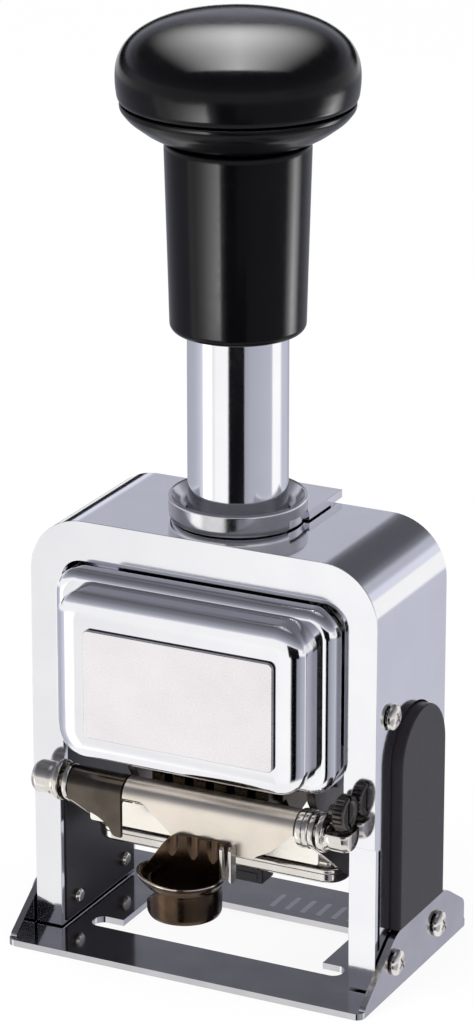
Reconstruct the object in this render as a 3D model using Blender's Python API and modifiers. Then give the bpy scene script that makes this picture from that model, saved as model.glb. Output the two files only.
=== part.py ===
"""A self-inking desk numbering machine, modelled piece by piece at its real size.

Metres, Z up, the front toward -Y. The plunger runs on a vertical axis through the middle
of the base plate, and every piece is placed from that axis. One empty then carries the
whole machine, so that the origin lies under the middle of its bounding box.
"""
from math import acos, cos, pi, radians, sin, tau

import bmesh
import bpy
from mathutils import Matrix, Vector

mm = 0.001

# Clearances, and the overrun that every cutter has past the wall it cuts
fit_gap = 0.3 * mm
run_gap = 0.35 * mm
overrun = 6.0 * mm
weld = 0.002 * mm

# Facets: round pieces by their use
fine_steps = 48
plain_steps = 32
small_steps = 16
arc_steps = 8
sharp_angle = radians(35)

# Base plate
base_depth = 45.4 * mm
sheet = 1.2 * mm
base_corner = 1.5 * mm
window_side = 15.2 * mm
window_depth = 20.4 * mm
window_corner = 2.5 * mm
ear_reach = 5.0 * mm
ear_width = 3.8 * mm
ear_round = 1.8 * mm
flange_height = 10.9 * mm
flange_toe = 1.6 * mm
flange_heel = 5.4 * mm
flange_slope_share = 0.325
flange_top_share = 0.78

# Screws through the flanges and the legs
base_screw_inset = 5.4 * mm
base_screw_z = 5.7 * mm
base_screw_radius = 1.3 * mm
base_screw_end = 1.4 * mm
screw_head_radius = 2.45 * mm
screw_head_height = 1.3 * mm
side_screw_radius = 1.5 * mm
side_screw_inset = 5.8 * mm
side_screw_rise = 2.6 * mm

# Frame: an inverted U with a lip round its front opening
frame_clearance = 3.4 * mm
side_room = 9.9 * mm
leg_thickness = 5.2 * mm
bridge_thickness = 5.1 * mm
frame_corner = 9.0 * mm
frame_inner_corner = 4.0 * mm
lip_width = 6.2 * mm
lip_height = 7.4 * mm
lip_thickness = 1.5 * mm
lip_end_drop = 3.5 * mm
lip_corner = 3.0 * mm
toe_setback = 0.4 * mm

# Slots of the legs and their plastic fillings
insert_front_margin = 6.4 * mm
insert_rear_margin = 4.0 * mm
insert_screw_gap = 1.2 * mm
insert_raise = 2.1 * mm
insert_sink = 2.0 * mm
insert_round = 1.4 * mm

# Front cover: a box on a stepped rim
cover_forward = 9.6 * mm
rim_forward = 3.8 * mm
rim_behind = 0.5 * mm
step_side = 3.0 * mm
step_top = 1.5 * mm
step_bottom = 1.0 * mm
cover_rise = 6.1 * mm
cover_wall = 1.0 * mm
rim_corner = 5.0 * mm
box_corner = 4.0 * mm
box_round = 1.0 * mm
label_left_margin = 6.3 * mm
label_right_margin = 5.3 * mm
label_bottom_margin = 5.0 * mm
label_top_margin = 6.5 * mm
label_thickness = 0.5 * mm
label_corner = 2.0 * mm

# Plunger, knob and grip
tube_radius = 8.85 * mm
tube_wall = 1.45 * mm
plug_height = 6.0 * mm
grip_clearance = 7.1 * mm
grip_length = 33.0 * mm
neck_rise = 2.0 * mm
grip_bevel = 2.4 * mm
grip_bottom_wall = 2.6 * mm
grip_top_wall = 3.55 * mm
neck_wall = 2.2 * mm
knob_radius = 20.9 * mm
knob_under_height = 1.6 * mm
knob_skirt_height = 6.8 * mm
knob_band_height = 6.2 * mm
knob_dome_height = 9.0 * mm
knob_seam_inset = 0.5 * mm

# Collar and lock
collar_flange = 2.1 * mm
collar_neck_wall = 1.0 * mm
collar_cup_height = 2.7 * mm
collar_recess_depth = 1.6 * mm
collar_lip = 1.5 * mm
lock_thickness = 1.5 * mm
lock_overhang = 2.2 * mm
lock_front_y = -3.0 * mm
lock_end = 1.5 * mm
lock_drop = 3.6 * mm
lock_lip_inset = 0.3 * mm
tongue_width = 4.4 * mm
keyway_width = 5.2 * mm
keyway_depth = 1.0 * mm

# Stroke, wheels and the carriage
stroke = 23.0 * mm
wheel_count = 6
wheel_radius = 11.0 * mm
wheel_pitch = 4.1 * mm
wheel_gap = 0.4 * mm
figure_depth = 0.8 * mm
figure_width_share = 0.62
ratchet_depth = 3.4 * mm
ratchet_width = 1.1 * mm
ratchet_tooth = 1.1 * mm
ratchet_rise_share = 0.85
figures = 10
paper_gap = 0.6 * mm
shaft_radius = 2.0 * mm
shaft_end = 1.6 * mm
yoke_gap = 0.5 * mm
yoke_thickness = 2.0 * mm
yoke_front_gap = 2.4 * mm
press_gap = 0.5 * mm
cheek_thickness = 1.6 * mm
cheek_gap = 4.7 * mm
cheek_setback = 2.0 * mm
cheek_rear_inset = 2.7 * mm
cheek_foot_radius = 7.6 * mm
shoe_height = 8.0 * mm
shoe_drop = 7.0 * mm
shoe_depth = 6.2 * mm
rear_plate_thickness = 1.2 * mm
rear_plate_wing = 3.4 * mm
rear_plate_drop = 1.5 * mm
rear_plate_foot_rise = 0.8 * mm
rear_plate_corner = 2.0 * mm
selector_radius = 6.0 * mm
selector_height = 2.0 * mm
selector_drop = 11.0 * mm
selector_pin_radius = 1.6 * mm
selector_grip_width = 1.0 * mm
selector_grip_rise = 0.6 * mm
selector_grip_low = 3.0 * mm
selector_grip_high = 4.8 * mm

# Bridge, post and main spring
bar_width = 6.0 * mm
bar_height = 2.8 * mm
wheel_top_gap = 0.6 * mm
block_clearance = 1.6 * mm
block_rise = 6.0 * mm
block_gap = 0.4 * mm
block_depth = 15.4 * mm
seat_clearance = 0.9 * mm
seat_height = 1.0 * mm
post_share = 0.68
spring_wire = 1.2 * mm
spring_clearance = 1.5 * mm
spring_turns = 16
spring_end_pitch = 1.9 * mm
curl_points = 10
spring_min_gap = 0.4 * mm

# Feed
rocker_overreach = 3.0 * mm
rocker_bar_radius = 1.2 * mm
rocker_hub_radius = 4.0 * mm
rocker_thickness = 1.2 * mm
rocker_rest = radians(45)
finger_thickness = 0.6 * mm
pawl_gap = 0.35 * mm
pawl_depth = 1.6 * mm
pawl_wall = 0.8 * mm
comb_angle = radians(146)
comb_overreach = 1.9 * mm

# Pad hinge and pad holder
hinge_forward = 3.3 * mm
hinge_rise = 8.5 * mm
hinge_rod_radius = 1.5 * mm
stud_radius = 3.0 * mm
stud_inset = 2.2 * mm
stud_length = 4.9 * mm
stud_rim_radius = 3.7 * mm
stud_rim = 1.0 * mm
disc_radius = 5.0 * mm
disc_thickness = 1.1 * mm
thumb_rise = 4.4 * mm
thumb_radius = 3.3 * mm
thumb_thickness = 2.3 * mm
thumb_shank = 1.1 * mm
thumb_shank_length = 1.6 * mm
barrel_radius = 2.9 * mm
arm_clearance = 3.9 * mm
arm_thickness = 1.0 * mm
arm_ear_radius = 3.7 * mm
arm_ear_start = radians(62)
arm_ear_end = radians(206)
holder_front_y = -9.6 * mm
holder_rear_y = 5.8 * mm
holder_drop = 8.2 * mm
holder_sheet = 1.0 * mm
arm_rear_rise = 5.2 * mm
tray_wall = 0.8 * mm
tray_height = 3.6 * mm
apron_left_reach = 5.1 * mm
apron_foot_reach = 0.1 * mm
apron_right_inset = 2.6 * mm
apron_foot_inset = 6.6 * mm
apron_height = 6.7 * mm

# Finger tab on the pad holder: a half-round dish, a skirt below it and a web beside it
tab_middle = 1.3 * mm
tab_forward = 1.7 * mm
tab_sheet = 0.9 * mm
tab_root_drop = 4.2 * mm
tab_top_half = 6.4 * mm
tab_top_shift = 1.2 * mm
dish_radius = 7.2 * mm
dish_drop = 10.6 * mm
dish_depth = 2.4 * mm
dish_flat_share = 0.55
skirt_inset = 0.5 * mm
skirt_height = 7.2 * mm
web_near = 6.4 * mm
web_far = 8.8 * mm
web_reach = 2.1 * mm

# Places that follow: the wheels hang a stroke above the paper, and the frame goes round them
wheel_bottom_z = stroke + paper_gap
wheel_z = wheel_bottom_z + wheel_radius
ratchet_radius = wheel_radius - ratchet_depth
pack_half = wheel_count * wheel_pitch / 2
cheek_inner = pack_half + cheek_gap
cheek_outer = cheek_inner + cheek_thickness
bar_z = wheel_z + wheel_radius + wheel_top_gap
bar_top_z = bar_z + bar_height
seat_top_z = bar_top_z + fit_gap + seat_height
yoke_under_z = bar_top_z + stroke + press_gap
yoke_top_z = yoke_under_z + yoke_thickness
frame_depth = 2 * (wheel_radius + frame_clearance)
frame_front = -frame_depth / 2
frame_rear = frame_depth / 2
frame_top_z = yoke_top_z + yoke_gap + bridge_thickness
frame_foot_z = sheet + fit_gap
leg_inner = cheek_outer + side_room
frame_half = leg_inner + leg_thickness
base_half = frame_half + fit_gap + sheet
window_half = frame_half - lip_width

# The front cover, between the hinge of the pad and the frame's upper bar
hinge_y = frame_front - hinge_forward
hinge_z = wheel_bottom_z + hinge_rise
lip_end_z = hinge_z - lip_end_drop
cover_bottom_z = hinge_z + cover_rise
rim_half = window_half - fit_gap
rim_top_z = frame_top_z - lip_height - fit_gap
box_half = rim_half - step_side
box_top_z = rim_top_z - step_top
box_bottom_z = cover_bottom_z + step_bottom
cover_front = frame_front - cover_forward
rim_front = frame_front - rim_forward
rim_back = frame_front + lip_thickness + rim_behind

# The carriage and the bridge, inside the frame
yoke_front_y = rim_back + yoke_front_gap
cheek_front_y = yoke_front_y + cheek_setback
cheek_rear_y = frame_rear - cheek_rear_inset
shoe_top_z = yoke_under_z - shoe_drop
rear_plate_half = cheek_outer + rear_plate_wing
rear_plate_top_z = yoke_under_z - rear_plate_drop
rear_plate_bottom_z = bar_z + rear_plate_foot_rise
selector_z = rear_plate_top_z - selector_drop
block_inner = cheek_outer + block_clearance
block_front_y = rim_back + block_gap
rocker_reach = wheel_radius + rocker_overreach
comb_reach = wheel_radius + comb_overreach
side_screw_y = frame_front + side_screw_inset
side_screw_z = bar_top_z + side_screw_rise
insert_half = (frame_depth - insert_front_margin - insert_rear_margin) / 2
insert_center_y = (insert_front_margin - insert_rear_margin) / 2
insert_bottom_z = flange_height + fit_gap
insert_top_z = side_screw_z - insert_screw_gap

# The collar, the lock and the plunger, up from the frame's top
lock_z = frame_top_z + fit_gap
lock_rear_y = frame_rear + lock_overhang
cup_z = lock_z + lock_thickness + fit_gap
cup_top_z = cup_z + collar_cup_height
tube_bore = tube_radius + run_gap
tube_inner = tube_radius - tube_wall
collar_neck_radius = tube_bore + collar_neck_wall
collar_radius = collar_neck_radius + collar_flange
spring_radius = tube_inner - spring_clearance - spring_wire / 2
post_radius = post_share * (spring_radius - spring_wire / 2)
seat_radius = tube_inner - seat_clearance
grip_bottom_radius = tube_bore + grip_bottom_wall
grip_top_radius = tube_bore + grip_top_wall
neck_radius = tube_bore + neck_wall
grip_bottom_z = cup_top_z + stroke + grip_clearance
neck_z = grip_bottom_z + grip_length
tube_top_z = neck_z - neck_rise
plug_z = tube_top_z - plug_height
post_top_z = plug_z - stroke - 2 * fit_gap
knob_under_z = neck_z + knob_under_height
knob_seam_z = neck_z + knob_skirt_height
knob_band_z = knob_seam_z + knob_band_height
knob_top_z = knob_band_z + knob_dome_height

# The pad hinge and its holder
thumb_y = frame_front - run_gap - thumb_radius
thumb_z = hinge_z + thumb_rise
stud_start = leg_inner - stud_inset
arm_outer = leg_inner - arm_clearance
holder_floor_z = wheel_bottom_z - holder_drop
tab_root_z = hinge_z - tab_root_drop
dish_z = hinge_z - dish_drop
apron_left = tab_middle - tab_top_half + tab_top_shift / 2


def clear_scene():
    for item in list(bpy.data.objects):
        bpy.data.objects.remove(item, do_unlink=True)


def collection(name, hidden=False):
    found = bpy.data.collections.new(name)
    found.hide_render = hidden
    bpy.context.scene.collection.children.link(found)
    return found


def material(name, color, metallic, roughness):
    made = bpy.data.materials.new(name)
    made.use_nodes = True
    shader = made.node_tree.nodes["Principled BSDF"]
    shader.inputs["Base Color"].default_value = (*color, 1.0)
    shader.inputs["Metallic"].default_value = metallic
    shader.inputs["Roughness"].default_value = roughness
    made.diffuse_color = (*color, 1.0)
    return made


def add_object(name, mesh):
    made = bpy.data.objects.new(name, mesh)
    parts.objects.link(made)
    made.parent = machine
    return made


def from_bmesh(name, shape):
    bmesh.ops.recalc_face_normals(shape, faces=shape.faces)
    mesh = bpy.data.meshes.new(name)
    shape.to_mesh(mesh)
    shape.free()
    return add_object(name, mesh)


def box(name, low, high):
    """A box between two corners, from the unit cube."""
    shape = bmesh.new()
    bmesh.ops.create_cube(shape, size=1)
    low, high = Vector(low), Vector(high)
    bmesh.ops.scale(shape, vec=high - low, verts=shape.verts)
    bmesh.ops.translate(shape, vec=(low + high) / 2, verts=shape.verts)
    return from_bmesh(name, shape)


def cylinder(name, radius, start, end, steps=plain_steps):
    """A round bar between two points."""
    start, end = Vector(start), Vector(end)
    run = end - start
    shape = bmesh.new()
    bmesh.ops.create_cone(shape, cap_ends=True, segments=steps, radius1=radius, radius2=radius,
                          depth=run.length)
    turn = Vector((0, 0, 1)).rotation_difference(run).to_matrix()
    bmesh.ops.rotate(shape, cent=(0, 0, 0), matrix=turn, verts=shape.verts)
    bmesh.ops.translate(shape, vec=(start + end) / 2, verts=shape.verts)
    made = from_bmesh(name, shape)
    made.data.shade_smooth()
    made.data.set_sharp_from_angle(angle=sharp_angle)
    return made


def turned(name, profile, steps=fine_steps, ring=False):
    """A solid turned about the plunger's axis. The profile runs down its outer side."""
    mesh = bpy.data.meshes.new(name)
    edges = [(i, i + 1) for i in range(len(profile) - 1)]
    if ring:
        edges.append((len(profile) - 1, 0))
    mesh.from_pydata([(r, 0, z) for r, z in profile], edges, [])
    made = add_object(name, mesh)
    screw = made.modifiers.new("turn", "SCREW")
    screw.axis = "Z"
    screw.angle = tau
    screw.steps = steps
    screw.render_steps = steps
    screw.use_merge_vertices = True
    screw.merge_threshold = weld
    screw.use_normal_calculate = True
    return made


def to_mesh(made):
    """Replaces a curve by its welded mesh, in the same place."""
    bpy.context.view_layer.update()
    reading = made.evaluated_get(bpy.context.evaluated_depsgraph_get())
    mesh = bpy.data.meshes.new_from_object(reading)
    shape = bmesh.new()
    shape.from_mesh(mesh)
    bmesh.ops.remove_doubles(shape, verts=shape.verts, dist=weld)
    bmesh.ops.transform(shape, matrix=made.matrix_local, verts=shape.verts)
    bmesh.ops.recalc_face_normals(shape, faces=shape.faces)
    shape.to_mesh(mesh)
    shape.free()
    name = made.name
    bpy.data.objects.remove(made, do_unlink=True)
    return add_object(name, mesh)


# Each plane's frame: its two directions, then the one the slab is thick along
planes = {
    "XY": Matrix(((1, 0, 0), (0, 1, 0), (0, 0, 1))),
    "XZ": Matrix(((1, 0, 0), (0, 0, -1), (0, 1, 0))),
    "YZ": Matrix(((0, 0, 1), (1, 0, 0), (0, 1, 0))),
}


def slab(name, outlines, plane, start, end, rounding=0.0):
    """A flat outline, with holes if more outlines follow, made thick from start to end."""
    curve = bpy.data.curves.new(name, "CURVE")
    curve.dimensions = "2D"
    curve.fill_mode = "BOTH"
    curve.extrude = (end - start) / 2 - rounding
    curve.bevel_depth = rounding
    curve.bevel_resolution = 1
    curve.offset = -rounding
    for outline in outlines:
        spline = curve.splines.new("POLY")
        spline.points.add(len(outline) - 1)
        for point, (across, along) in zip(spline.points, outline):
            point.co = (across, along, 0, 1)
        spline.use_cyclic_u = True
    made = add_object(name, curve)
    made.matrix_local = (planes[plane].to_4x4()
                         @ Matrix.Translation((0, 0, (-1 if plane == "XZ" else 1) * (start + end) / 2)))
    return to_mesh(made)


def arc(center, radius, start, end, steps=arc_steps):
    """Points along an arc, from one angle to another, in radians."""
    return [(center[0] + radius * cos(start + (end - start) * i / steps),
             center[1] + radius * sin(start + (end - start) * i / steps)) for i in range(steps + 1)]


def rounded(left, right, bottom, top, radius, steps=4):
    """A rectangle with rounded corners, counterclockwise."""
    return (arc((right - radius, bottom + radius), radius, -pi / 2, 0, steps)
            + arc((right - radius, top - radius), radius, 0, pi / 2, steps)
            + arc((left + radius, top - radius), radius, pi / 2, pi, steps)
            + arc((left + radius, bottom + radius), radius, pi, 3 * pi / 2, steps))


def operate(target, tool, operation, solver):
    """A Boolean with a tool object, which leaves the render and the parts."""
    parts.objects.unlink(tool)
    tools.objects.link(tool)
    tool.hide_render = True
    tool.display_type = "WIRE"
    step = target.modifiers.new(tool.name, "BOOLEAN")
    step.operation = operation
    step.solver = solver
    step.object = tool
    return target


def cut(target, tool, solver="EXACT"):
    return operate(target, tool, "DIFFERENCE", solver)


def fuse(target, tool, solver="EXACT"):
    return operate(target, tool, "UNION", solver)


def finish(made, look, pivot=(0, 0, 0)):
    """Gives a piece its material and puts its origin on its joint's axis."""
    bpy.context.view_layer.update()
    reading = made.evaluated_get(bpy.context.evaluated_depsgraph_get())
    mesh = bpy.data.meshes.new_from_object(reading)
    shape = bmesh.new()
    shape.from_mesh(mesh)
    bmesh.ops.translate(shape, vec=-Vector(pivot), verts=shape.verts)
    bmesh.ops.recalc_face_normals(shape, faces=shape.faces)
    shape.to_mesh(mesh)
    shape.free()
    mesh.materials.clear()
    mesh.materials.append(look)
    made.modifiers.clear()
    made.data = mesh
    made.location = pivot
    made.data.shade_smooth()
    made.data.set_sharp_from_angle(angle=sharp_angle)
    return made


def make_base_plate():
    half, depth_half = base_half, base_depth / 2
    plate = slab("base_plate",
                 [rounded(-half, half, -depth_half, depth_half, base_corner),
                  rounded(window_side - half, half - window_side, -window_depth / 2,
                          window_depth / 2, window_corner)],
                 "XY", 0, sheet)
    ears = rounded(window_side - half - ear_reach, half - window_side + ear_reach,
                   -window_depth / 2, ear_width - window_depth / 2, ear_round)
    cut(plate, slab("window_ears", [ears], "XY", -overrun, sheet + overrun), "MANIFOLD")
    slope_y = -depth_half + flange_slope_share * base_depth
    top_y = -depth_half + flange_top_share * base_depth
    low = sheet / 3
    side = [(-depth_half + base_corner, low), (depth_half - base_corner, low),
            (depth_half - base_corner, flange_heel), (top_y, flange_height),
            (slope_y, flange_height), (-depth_half + base_corner, flange_toe)]
    for label, left in (("left", -half), ("right", half - sheet)):
        fuse(plate, slab("flange_" + label, [side], "YZ", left, left + sheet), "MANIFOLD")
    for place in base_screw_places():
        cut(plate, cylinder("flange_hole", base_screw_radius + fit_gap,
                            (-half - overrun, place, base_screw_z),
                            (half + overrun, place, base_screw_z), small_steps))
    finish(plate, chrome)


def base_screw_places():
    return (frame_front + base_screw_inset, frame_rear - base_screw_inset)


def u_outline(half, top, foot, radius):
    """The outline of a block with two rounded upper corners, from its left foot round."""
    return ([(-half, foot)] + arc((-half + radius, top - radius), radius, pi, pi / 2)
            + arc((half - radius, top - radius), radius, pi / 2, 0) + [(half, foot)])


def slot_outline(half, bottom, top):
    """An upright slot with a half-round top, in depth and height."""
    return ([(insert_center_y - half, bottom), (insert_center_y + half, bottom)]
            + arc((insert_center_y, top - half), half, 0, pi, 2 * arc_steps))


def make_frame():
    foot = frame_foot_z
    outer = u_outline(frame_half, frame_top_z, foot, frame_corner)
    inner = u_outline(window_half, frame_top_z - lip_height, foot, lip_corner)
    frame = slab("outer_frame", [outer + inner[::-1]], "XZ", frame_front, frame_rear)
    throat = u_outline(leg_inner, frame_top_z - bridge_thickness, foot - overrun, frame_inner_corner)
    cut(frame, slab("throat", [throat], "XZ", frame_front + lip_thickness, frame_rear + overrun))
    cut(frame, box("lip_end", (-leg_inner, frame_front - overrun, foot - overrun),
                   (leg_inner, frame_front + 2 * lip_thickness, lip_end_z)))
    for side in (-1, 1):
        edges = sorted((side * (leg_inner - overrun), side * (frame_half + overrun)))
        cut(frame, box("toe_step", (edges[0], frame_front - overrun, foot - overrun),
                       (edges[1], frame_front + toe_setback, lip_end_z)))
    slot = slot_outline(insert_half + fit_gap, insert_bottom_z - fit_gap, insert_top_z + fit_gap)
    cut(frame, slab("leg_slots", [slot], "YZ", -frame_half - overrun, frame_half + overrun))
    cut(frame, cylinder("plunger_hole", tube_bore, (0, 0, frame_top_z - bridge_thickness - overrun),
                        (0, 0, frame_top_z + overrun), fine_steps))
    holes = [(base_screw_radius, place, base_screw_z) for place in base_screw_places()]
    holes.append((side_screw_radius, side_screw_y, side_screw_z))
    for radius, place, height in holes:
        cut(frame, cylinder("screw_hole", radius + fit_gap, (-frame_half - overrun, place, height),
                            (frame_half + overrun, place, height), small_steps))
    finish(frame, chrome)


def make_screws():
    """Pan-head screws: four through the flanges and legs, two that hold the bridge."""
    number = 0
    for side in (-1, 1):
        for place in base_screw_places():
            number += 1
            face = side * (base_half + fit_gap)
            tip = side * (leg_inner - base_screw_end)
            make_screw("base_screw_%d" % number, face, tip, place, base_screw_z, base_screw_radius)
    for side, label in ((-1, "left"), (1, "right")):
        face = side * (frame_half + fit_gap)
        tip = side * (leg_inner + fit_gap)
        make_screw("side_screw_" + label, face, tip, side_screw_y, side_screw_z, side_screw_radius)


def make_screw(name, face, tip, place, height, radius):
    side = 1 if face > 0 else -1
    screw = cylinder(name, screw_head_radius, (face, place, height),
                     (face + side * screw_head_height, place, height), 2 * small_steps)
    fuse(screw, cylinder(name + "_shank", radius, (tip, place, height),
                         (face + side * screw_head_height / 2, place, height), small_steps))
    finish(screw, nickel)


def make_inserts():
    outline = slot_outline(insert_half, insert_bottom_z, insert_top_z)
    for side, label in ((-1, "left"), (1, "right")):
        faces = sorted((side * (leg_inner + insert_sink), side * (frame_half + insert_raise)))
        finish(slab("side_insert_" + label, [outline], "YZ", faces[0], faces[1], insert_round),
               black_plastic)


def make_cover():
    rim = rounded(-rim_half, rim_half, cover_bottom_z, rim_top_z, rim_corner)
    front_box = rounded(-box_half, box_half, box_bottom_z, box_top_z, box_corner)
    cover = slab("front_cover", [rim], "XZ", rim_front, rim_back)
    fuse(cover, slab("cover_box", [front_box], "XZ", cover_front, rim_front + 2 * box_round, box_round))
    cavity = rounded(-box_half + cover_wall, box_half - cover_wall, box_bottom_z + cover_wall,
                     box_top_z - cover_wall, box_corner - cover_wall)
    cut(cover, slab("cover_cavity", [cavity], "XZ", cover_front + cover_wall + box_round / 2,
                    rim_back + overrun))
    finish(cover, chrome)
    plate = rounded(label_left_margin - box_half, box_half - label_right_margin,
                    box_bottom_z + label_bottom_margin, box_top_z - label_top_margin, label_corner)
    face = cover_front - fit_gap
    finish(slab("label_plate", [plate], "XZ", face - label_thickness, face), satin)


def make_knob():
    grip = turned("grip_sleeve", [
        (neck_radius, neck_z), (grip_top_radius, neck_z), (grip_bottom_radius, grip_bottom_z + grip_bevel),
        (grip_bottom_radius - grip_bevel / 2, grip_bottom_z), (tube_bore, grip_bottom_z),
        (tube_bore, tube_top_z + fit_gap), (tube_bore - tube_wall, tube_top_z + fit_gap),
        (tube_bore - tube_wall, neck_z)], ring=True)
    finish(grip, gloss_black)
    under = neck_z + fit_gap
    body = turned("knob_body", [
        (0, knob_seam_z), (knob_radius - knob_seam_inset, knob_seam_z),
        (knob_radius - 4 * knob_seam_inset, (knob_seam_z + knob_under_z) / 2),
        (neck_radius, knob_under_z), (neck_radius, under), (0, under)])
    finish(body, gloss_black)
    base = knob_seam_z + fit_gap
    crown = [(knob_radius * cos(turn), knob_band_z + (knob_top_z - knob_band_z) * sin(turn))
             for turn in [pi / 2 * (1 - i / arc_steps) for i in range(arc_steps)]]
    crown[0] = (0, knob_top_z)
    cap = turned("knob_cap", crown + [(knob_radius, knob_band_z), (knob_radius, base), (0, base)])
    finish(cap, gloss_black)


def make_plunger():
    low = yoke_under_z + fit_gap
    tube = turned("plunger_tube", [(tube_inner, tube_top_z), (tube_radius, tube_top_z),
                                   (tube_radius, low), (tube_inner, low)], ring=True)
    keyway_low = lock_z - fit_gap
    cut(tube, box("keyway", (-keyway_width / 2, tube_radius - keyway_depth, keyway_low),
                  (keyway_width / 2, tube_radius + overrun,
                   lock_z + lock_thickness + stroke + 2 * fit_gap)))
    finish(tube, chrome)
    plug_radius = tube_inner - fit_gap
    finish(turned("tube_plug", [(0, tube_top_z), (plug_radius, tube_top_z), (plug_radius, plug_z),
                                (0, plug_z)], plain_steps), nickel)


def make_collar():
    recess = collar_radius - collar_lip
    collar = turned("collar", [
        (recess, cup_top_z), (collar_radius, cup_top_z), (collar_radius, cup_z),
        (collar_neck_radius, cup_z), (collar_neck_radius, lock_z), (tube_bore, lock_z),
        (tube_bore, cup_top_z - collar_recess_depth), (recess, cup_top_z - collar_recess_depth)],
        ring=True)
    cut(collar, box("tongue_way", (-keyway_width / 2, tube_radius / 2, lock_z - overrun),
                    (keyway_width / 2, collar_radius + overrun, lock_z + lock_thickness + fit_gap)))
    finish(collar, chrome)


def make_lock():
    notch = collar_neck_radius + fit_gap
    tip = tube_radius - keyway_depth + fit_gap
    half = collar_radius
    spread = acos(tongue_width / 2 / notch)
    outline = ([(-half, lock_front_y), (-notch, lock_front_y)]
               + arc((0, 0), notch, pi, pi - spread)
               + [(-tongue_width / 2, tip), (tongue_width / 2, tip)]
               + arc((0, 0), notch, spread, 0)
               + [(notch, lock_front_y), (half, lock_front_y), (half, lock_rear_y),
                  (-half, lock_rear_y)])
    lock = slab("lock_slide", [outline], "XY", lock_z, lock_z + lock_thickness)
    fuse(lock, box("lock_lip", (-half + lock_end, lock_rear_y - lock_end, lock_z - lock_drop),
                   (half - lock_end, lock_rear_y - lock_lip_inset, lock_z + lock_thickness / 2)))
    finish(lock, chrome, (0, lock_rear_y, lock_z))


def make_bridge():
    """The fixed bar that the main spring stands on, held by the two side screws."""
    end = leg_inner - fit_gap
    middle = (block_inner + end) / 2
    bridge = box("spring_bridge", (-middle, -bar_width / 2, bar_z), (middle, bar_width / 2, bar_top_z))
    for side in (-1, 1):
        edges = sorted((side * block_inner, side * end))
        fuse(bridge, box("bridge_block", (edges[0], block_front_y, bar_z - fit_gap / 2),
                         (edges[1], block_front_y + block_depth, bar_top_z + block_rise)))
    finish(bridge, steel)
    low = bar_top_z + fit_gap
    finish(turned("spring_post", [(0, post_top_z), (post_radius, post_top_z),
                                  (post_radius, seat_top_z), (seat_radius, seat_top_z),
                                  (seat_radius, low), (0, low)], plain_steps), steel)


def spring_points():
    """The centre line of the main spring: closed ends, open turns between."""
    low = seat_top_z + fit_gap + spring_wire / 2
    high = plug_z - fit_gap - spring_wire / 2
    ends = spring_end_pitch
    points = []
    count = spring_turns * curl_points
    for i in range(count + 1):
        turn = i / curl_points
        rise = min(max(turn - 1, 0), spring_turns - 2)
        height = low + ends * min(turn, 1) + (high - low - 2 * ends) * rise / (spring_turns - 2)
        height += ends * max(turn - spring_turns + 1, 0)
        points.append((spring_radius * cos(tau * turn), spring_radius * sin(tau * turn), height))
    return points


def make_spring():
    points = spring_points()
    gap = min((Vector(a) - Vector(b)).length for i, a in enumerate(points)
              for b in points[i + curl_points - 1:]) - spring_wire
    print("main spring: least gap to itself %.2f mm, wanted over %.2f" % (gap / mm, spring_min_gap / mm))
    curve = bpy.data.curves.new("main_spring", "CURVE")
    curve.dimensions = "3D"
    curve.bevel_depth = spring_wire / 2
    curve.bevel_resolution = 1
    curve.use_fill_caps = True
    spline = curve.splines.new("POLY")
    spline.points.add(len(points) - 1)
    for point, place in zip(spline.points, points):
        point.co = (*place, 1)
    finish(to_mesh(add_object("main_spring", curve)), steel)


def make_yoke():
    """The inverted U that hangs from the tube and carries the wheels."""
    yoke = box("carriage_yoke", (-cheek_outer, yoke_front_y, yoke_under_z),
               (cheek_outer, cheek_rear_y, yoke_top_z))
    foot = cheek_foot_radius
    cheek = ([(cheek_rear_y, yoke_under_z + yoke_thickness / 2), (cheek_front_y, yoke_under_z
             + yoke_thickness / 2), (cheek_front_y, wheel_z + foot)]
             + arc((0, wheel_z), foot, pi, tau)
             + [(foot, wheel_z + foot), (cheek_rear_y, bar_z - fit_gap)])
    for side in (-1, 1):
        edges = sorted((side * cheek_inner, side * cheek_outer))
        fuse(yoke, slab("cheek", [cheek], "YZ", edges[0], edges[1]))
    slot_half = bar_width / 2 + run_gap
    cut(yoke, box("bar_slot", (-cheek_outer - overrun, -slot_half, bar_z - run_gap),
                  (cheek_outer + overrun, slot_half, yoke_under_z)))
    cut(yoke, cylinder("tube_seat", tube_radius + fit_gap, (0, 0, yoke_under_z - overrun),
                       (0, 0, yoke_top_z + overrun), fine_steps))
    cut(yoke, cylinder("shaft_holes", shaft_radius + fit_gap, (-cheek_outer - overrun, 0, wheel_z),
                       (cheek_outer + overrun, 0, wheel_z), small_steps))
    finish(yoke, steel)
    reach = cheek_outer + shaft_end
    finish(cylinder("wheel_shaft", shaft_radius, (-reach, 0, wheel_z), (reach, 0, wheel_z),
                    small_steps), steel)
    for side, label in ((-1, "left"), (1, "right")):
        edges = sorted((side * (cheek_outer + fit_gap), side * (leg_inner - run_gap)))
        rear = cheek_rear_y - fit_gap
        finish(box("guide_shoe_" + label, (edges[0], rear - shoe_depth, shoe_top_z - shoe_height),
                   (edges[1], rear, shoe_top_z)), black_plastic)


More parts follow.
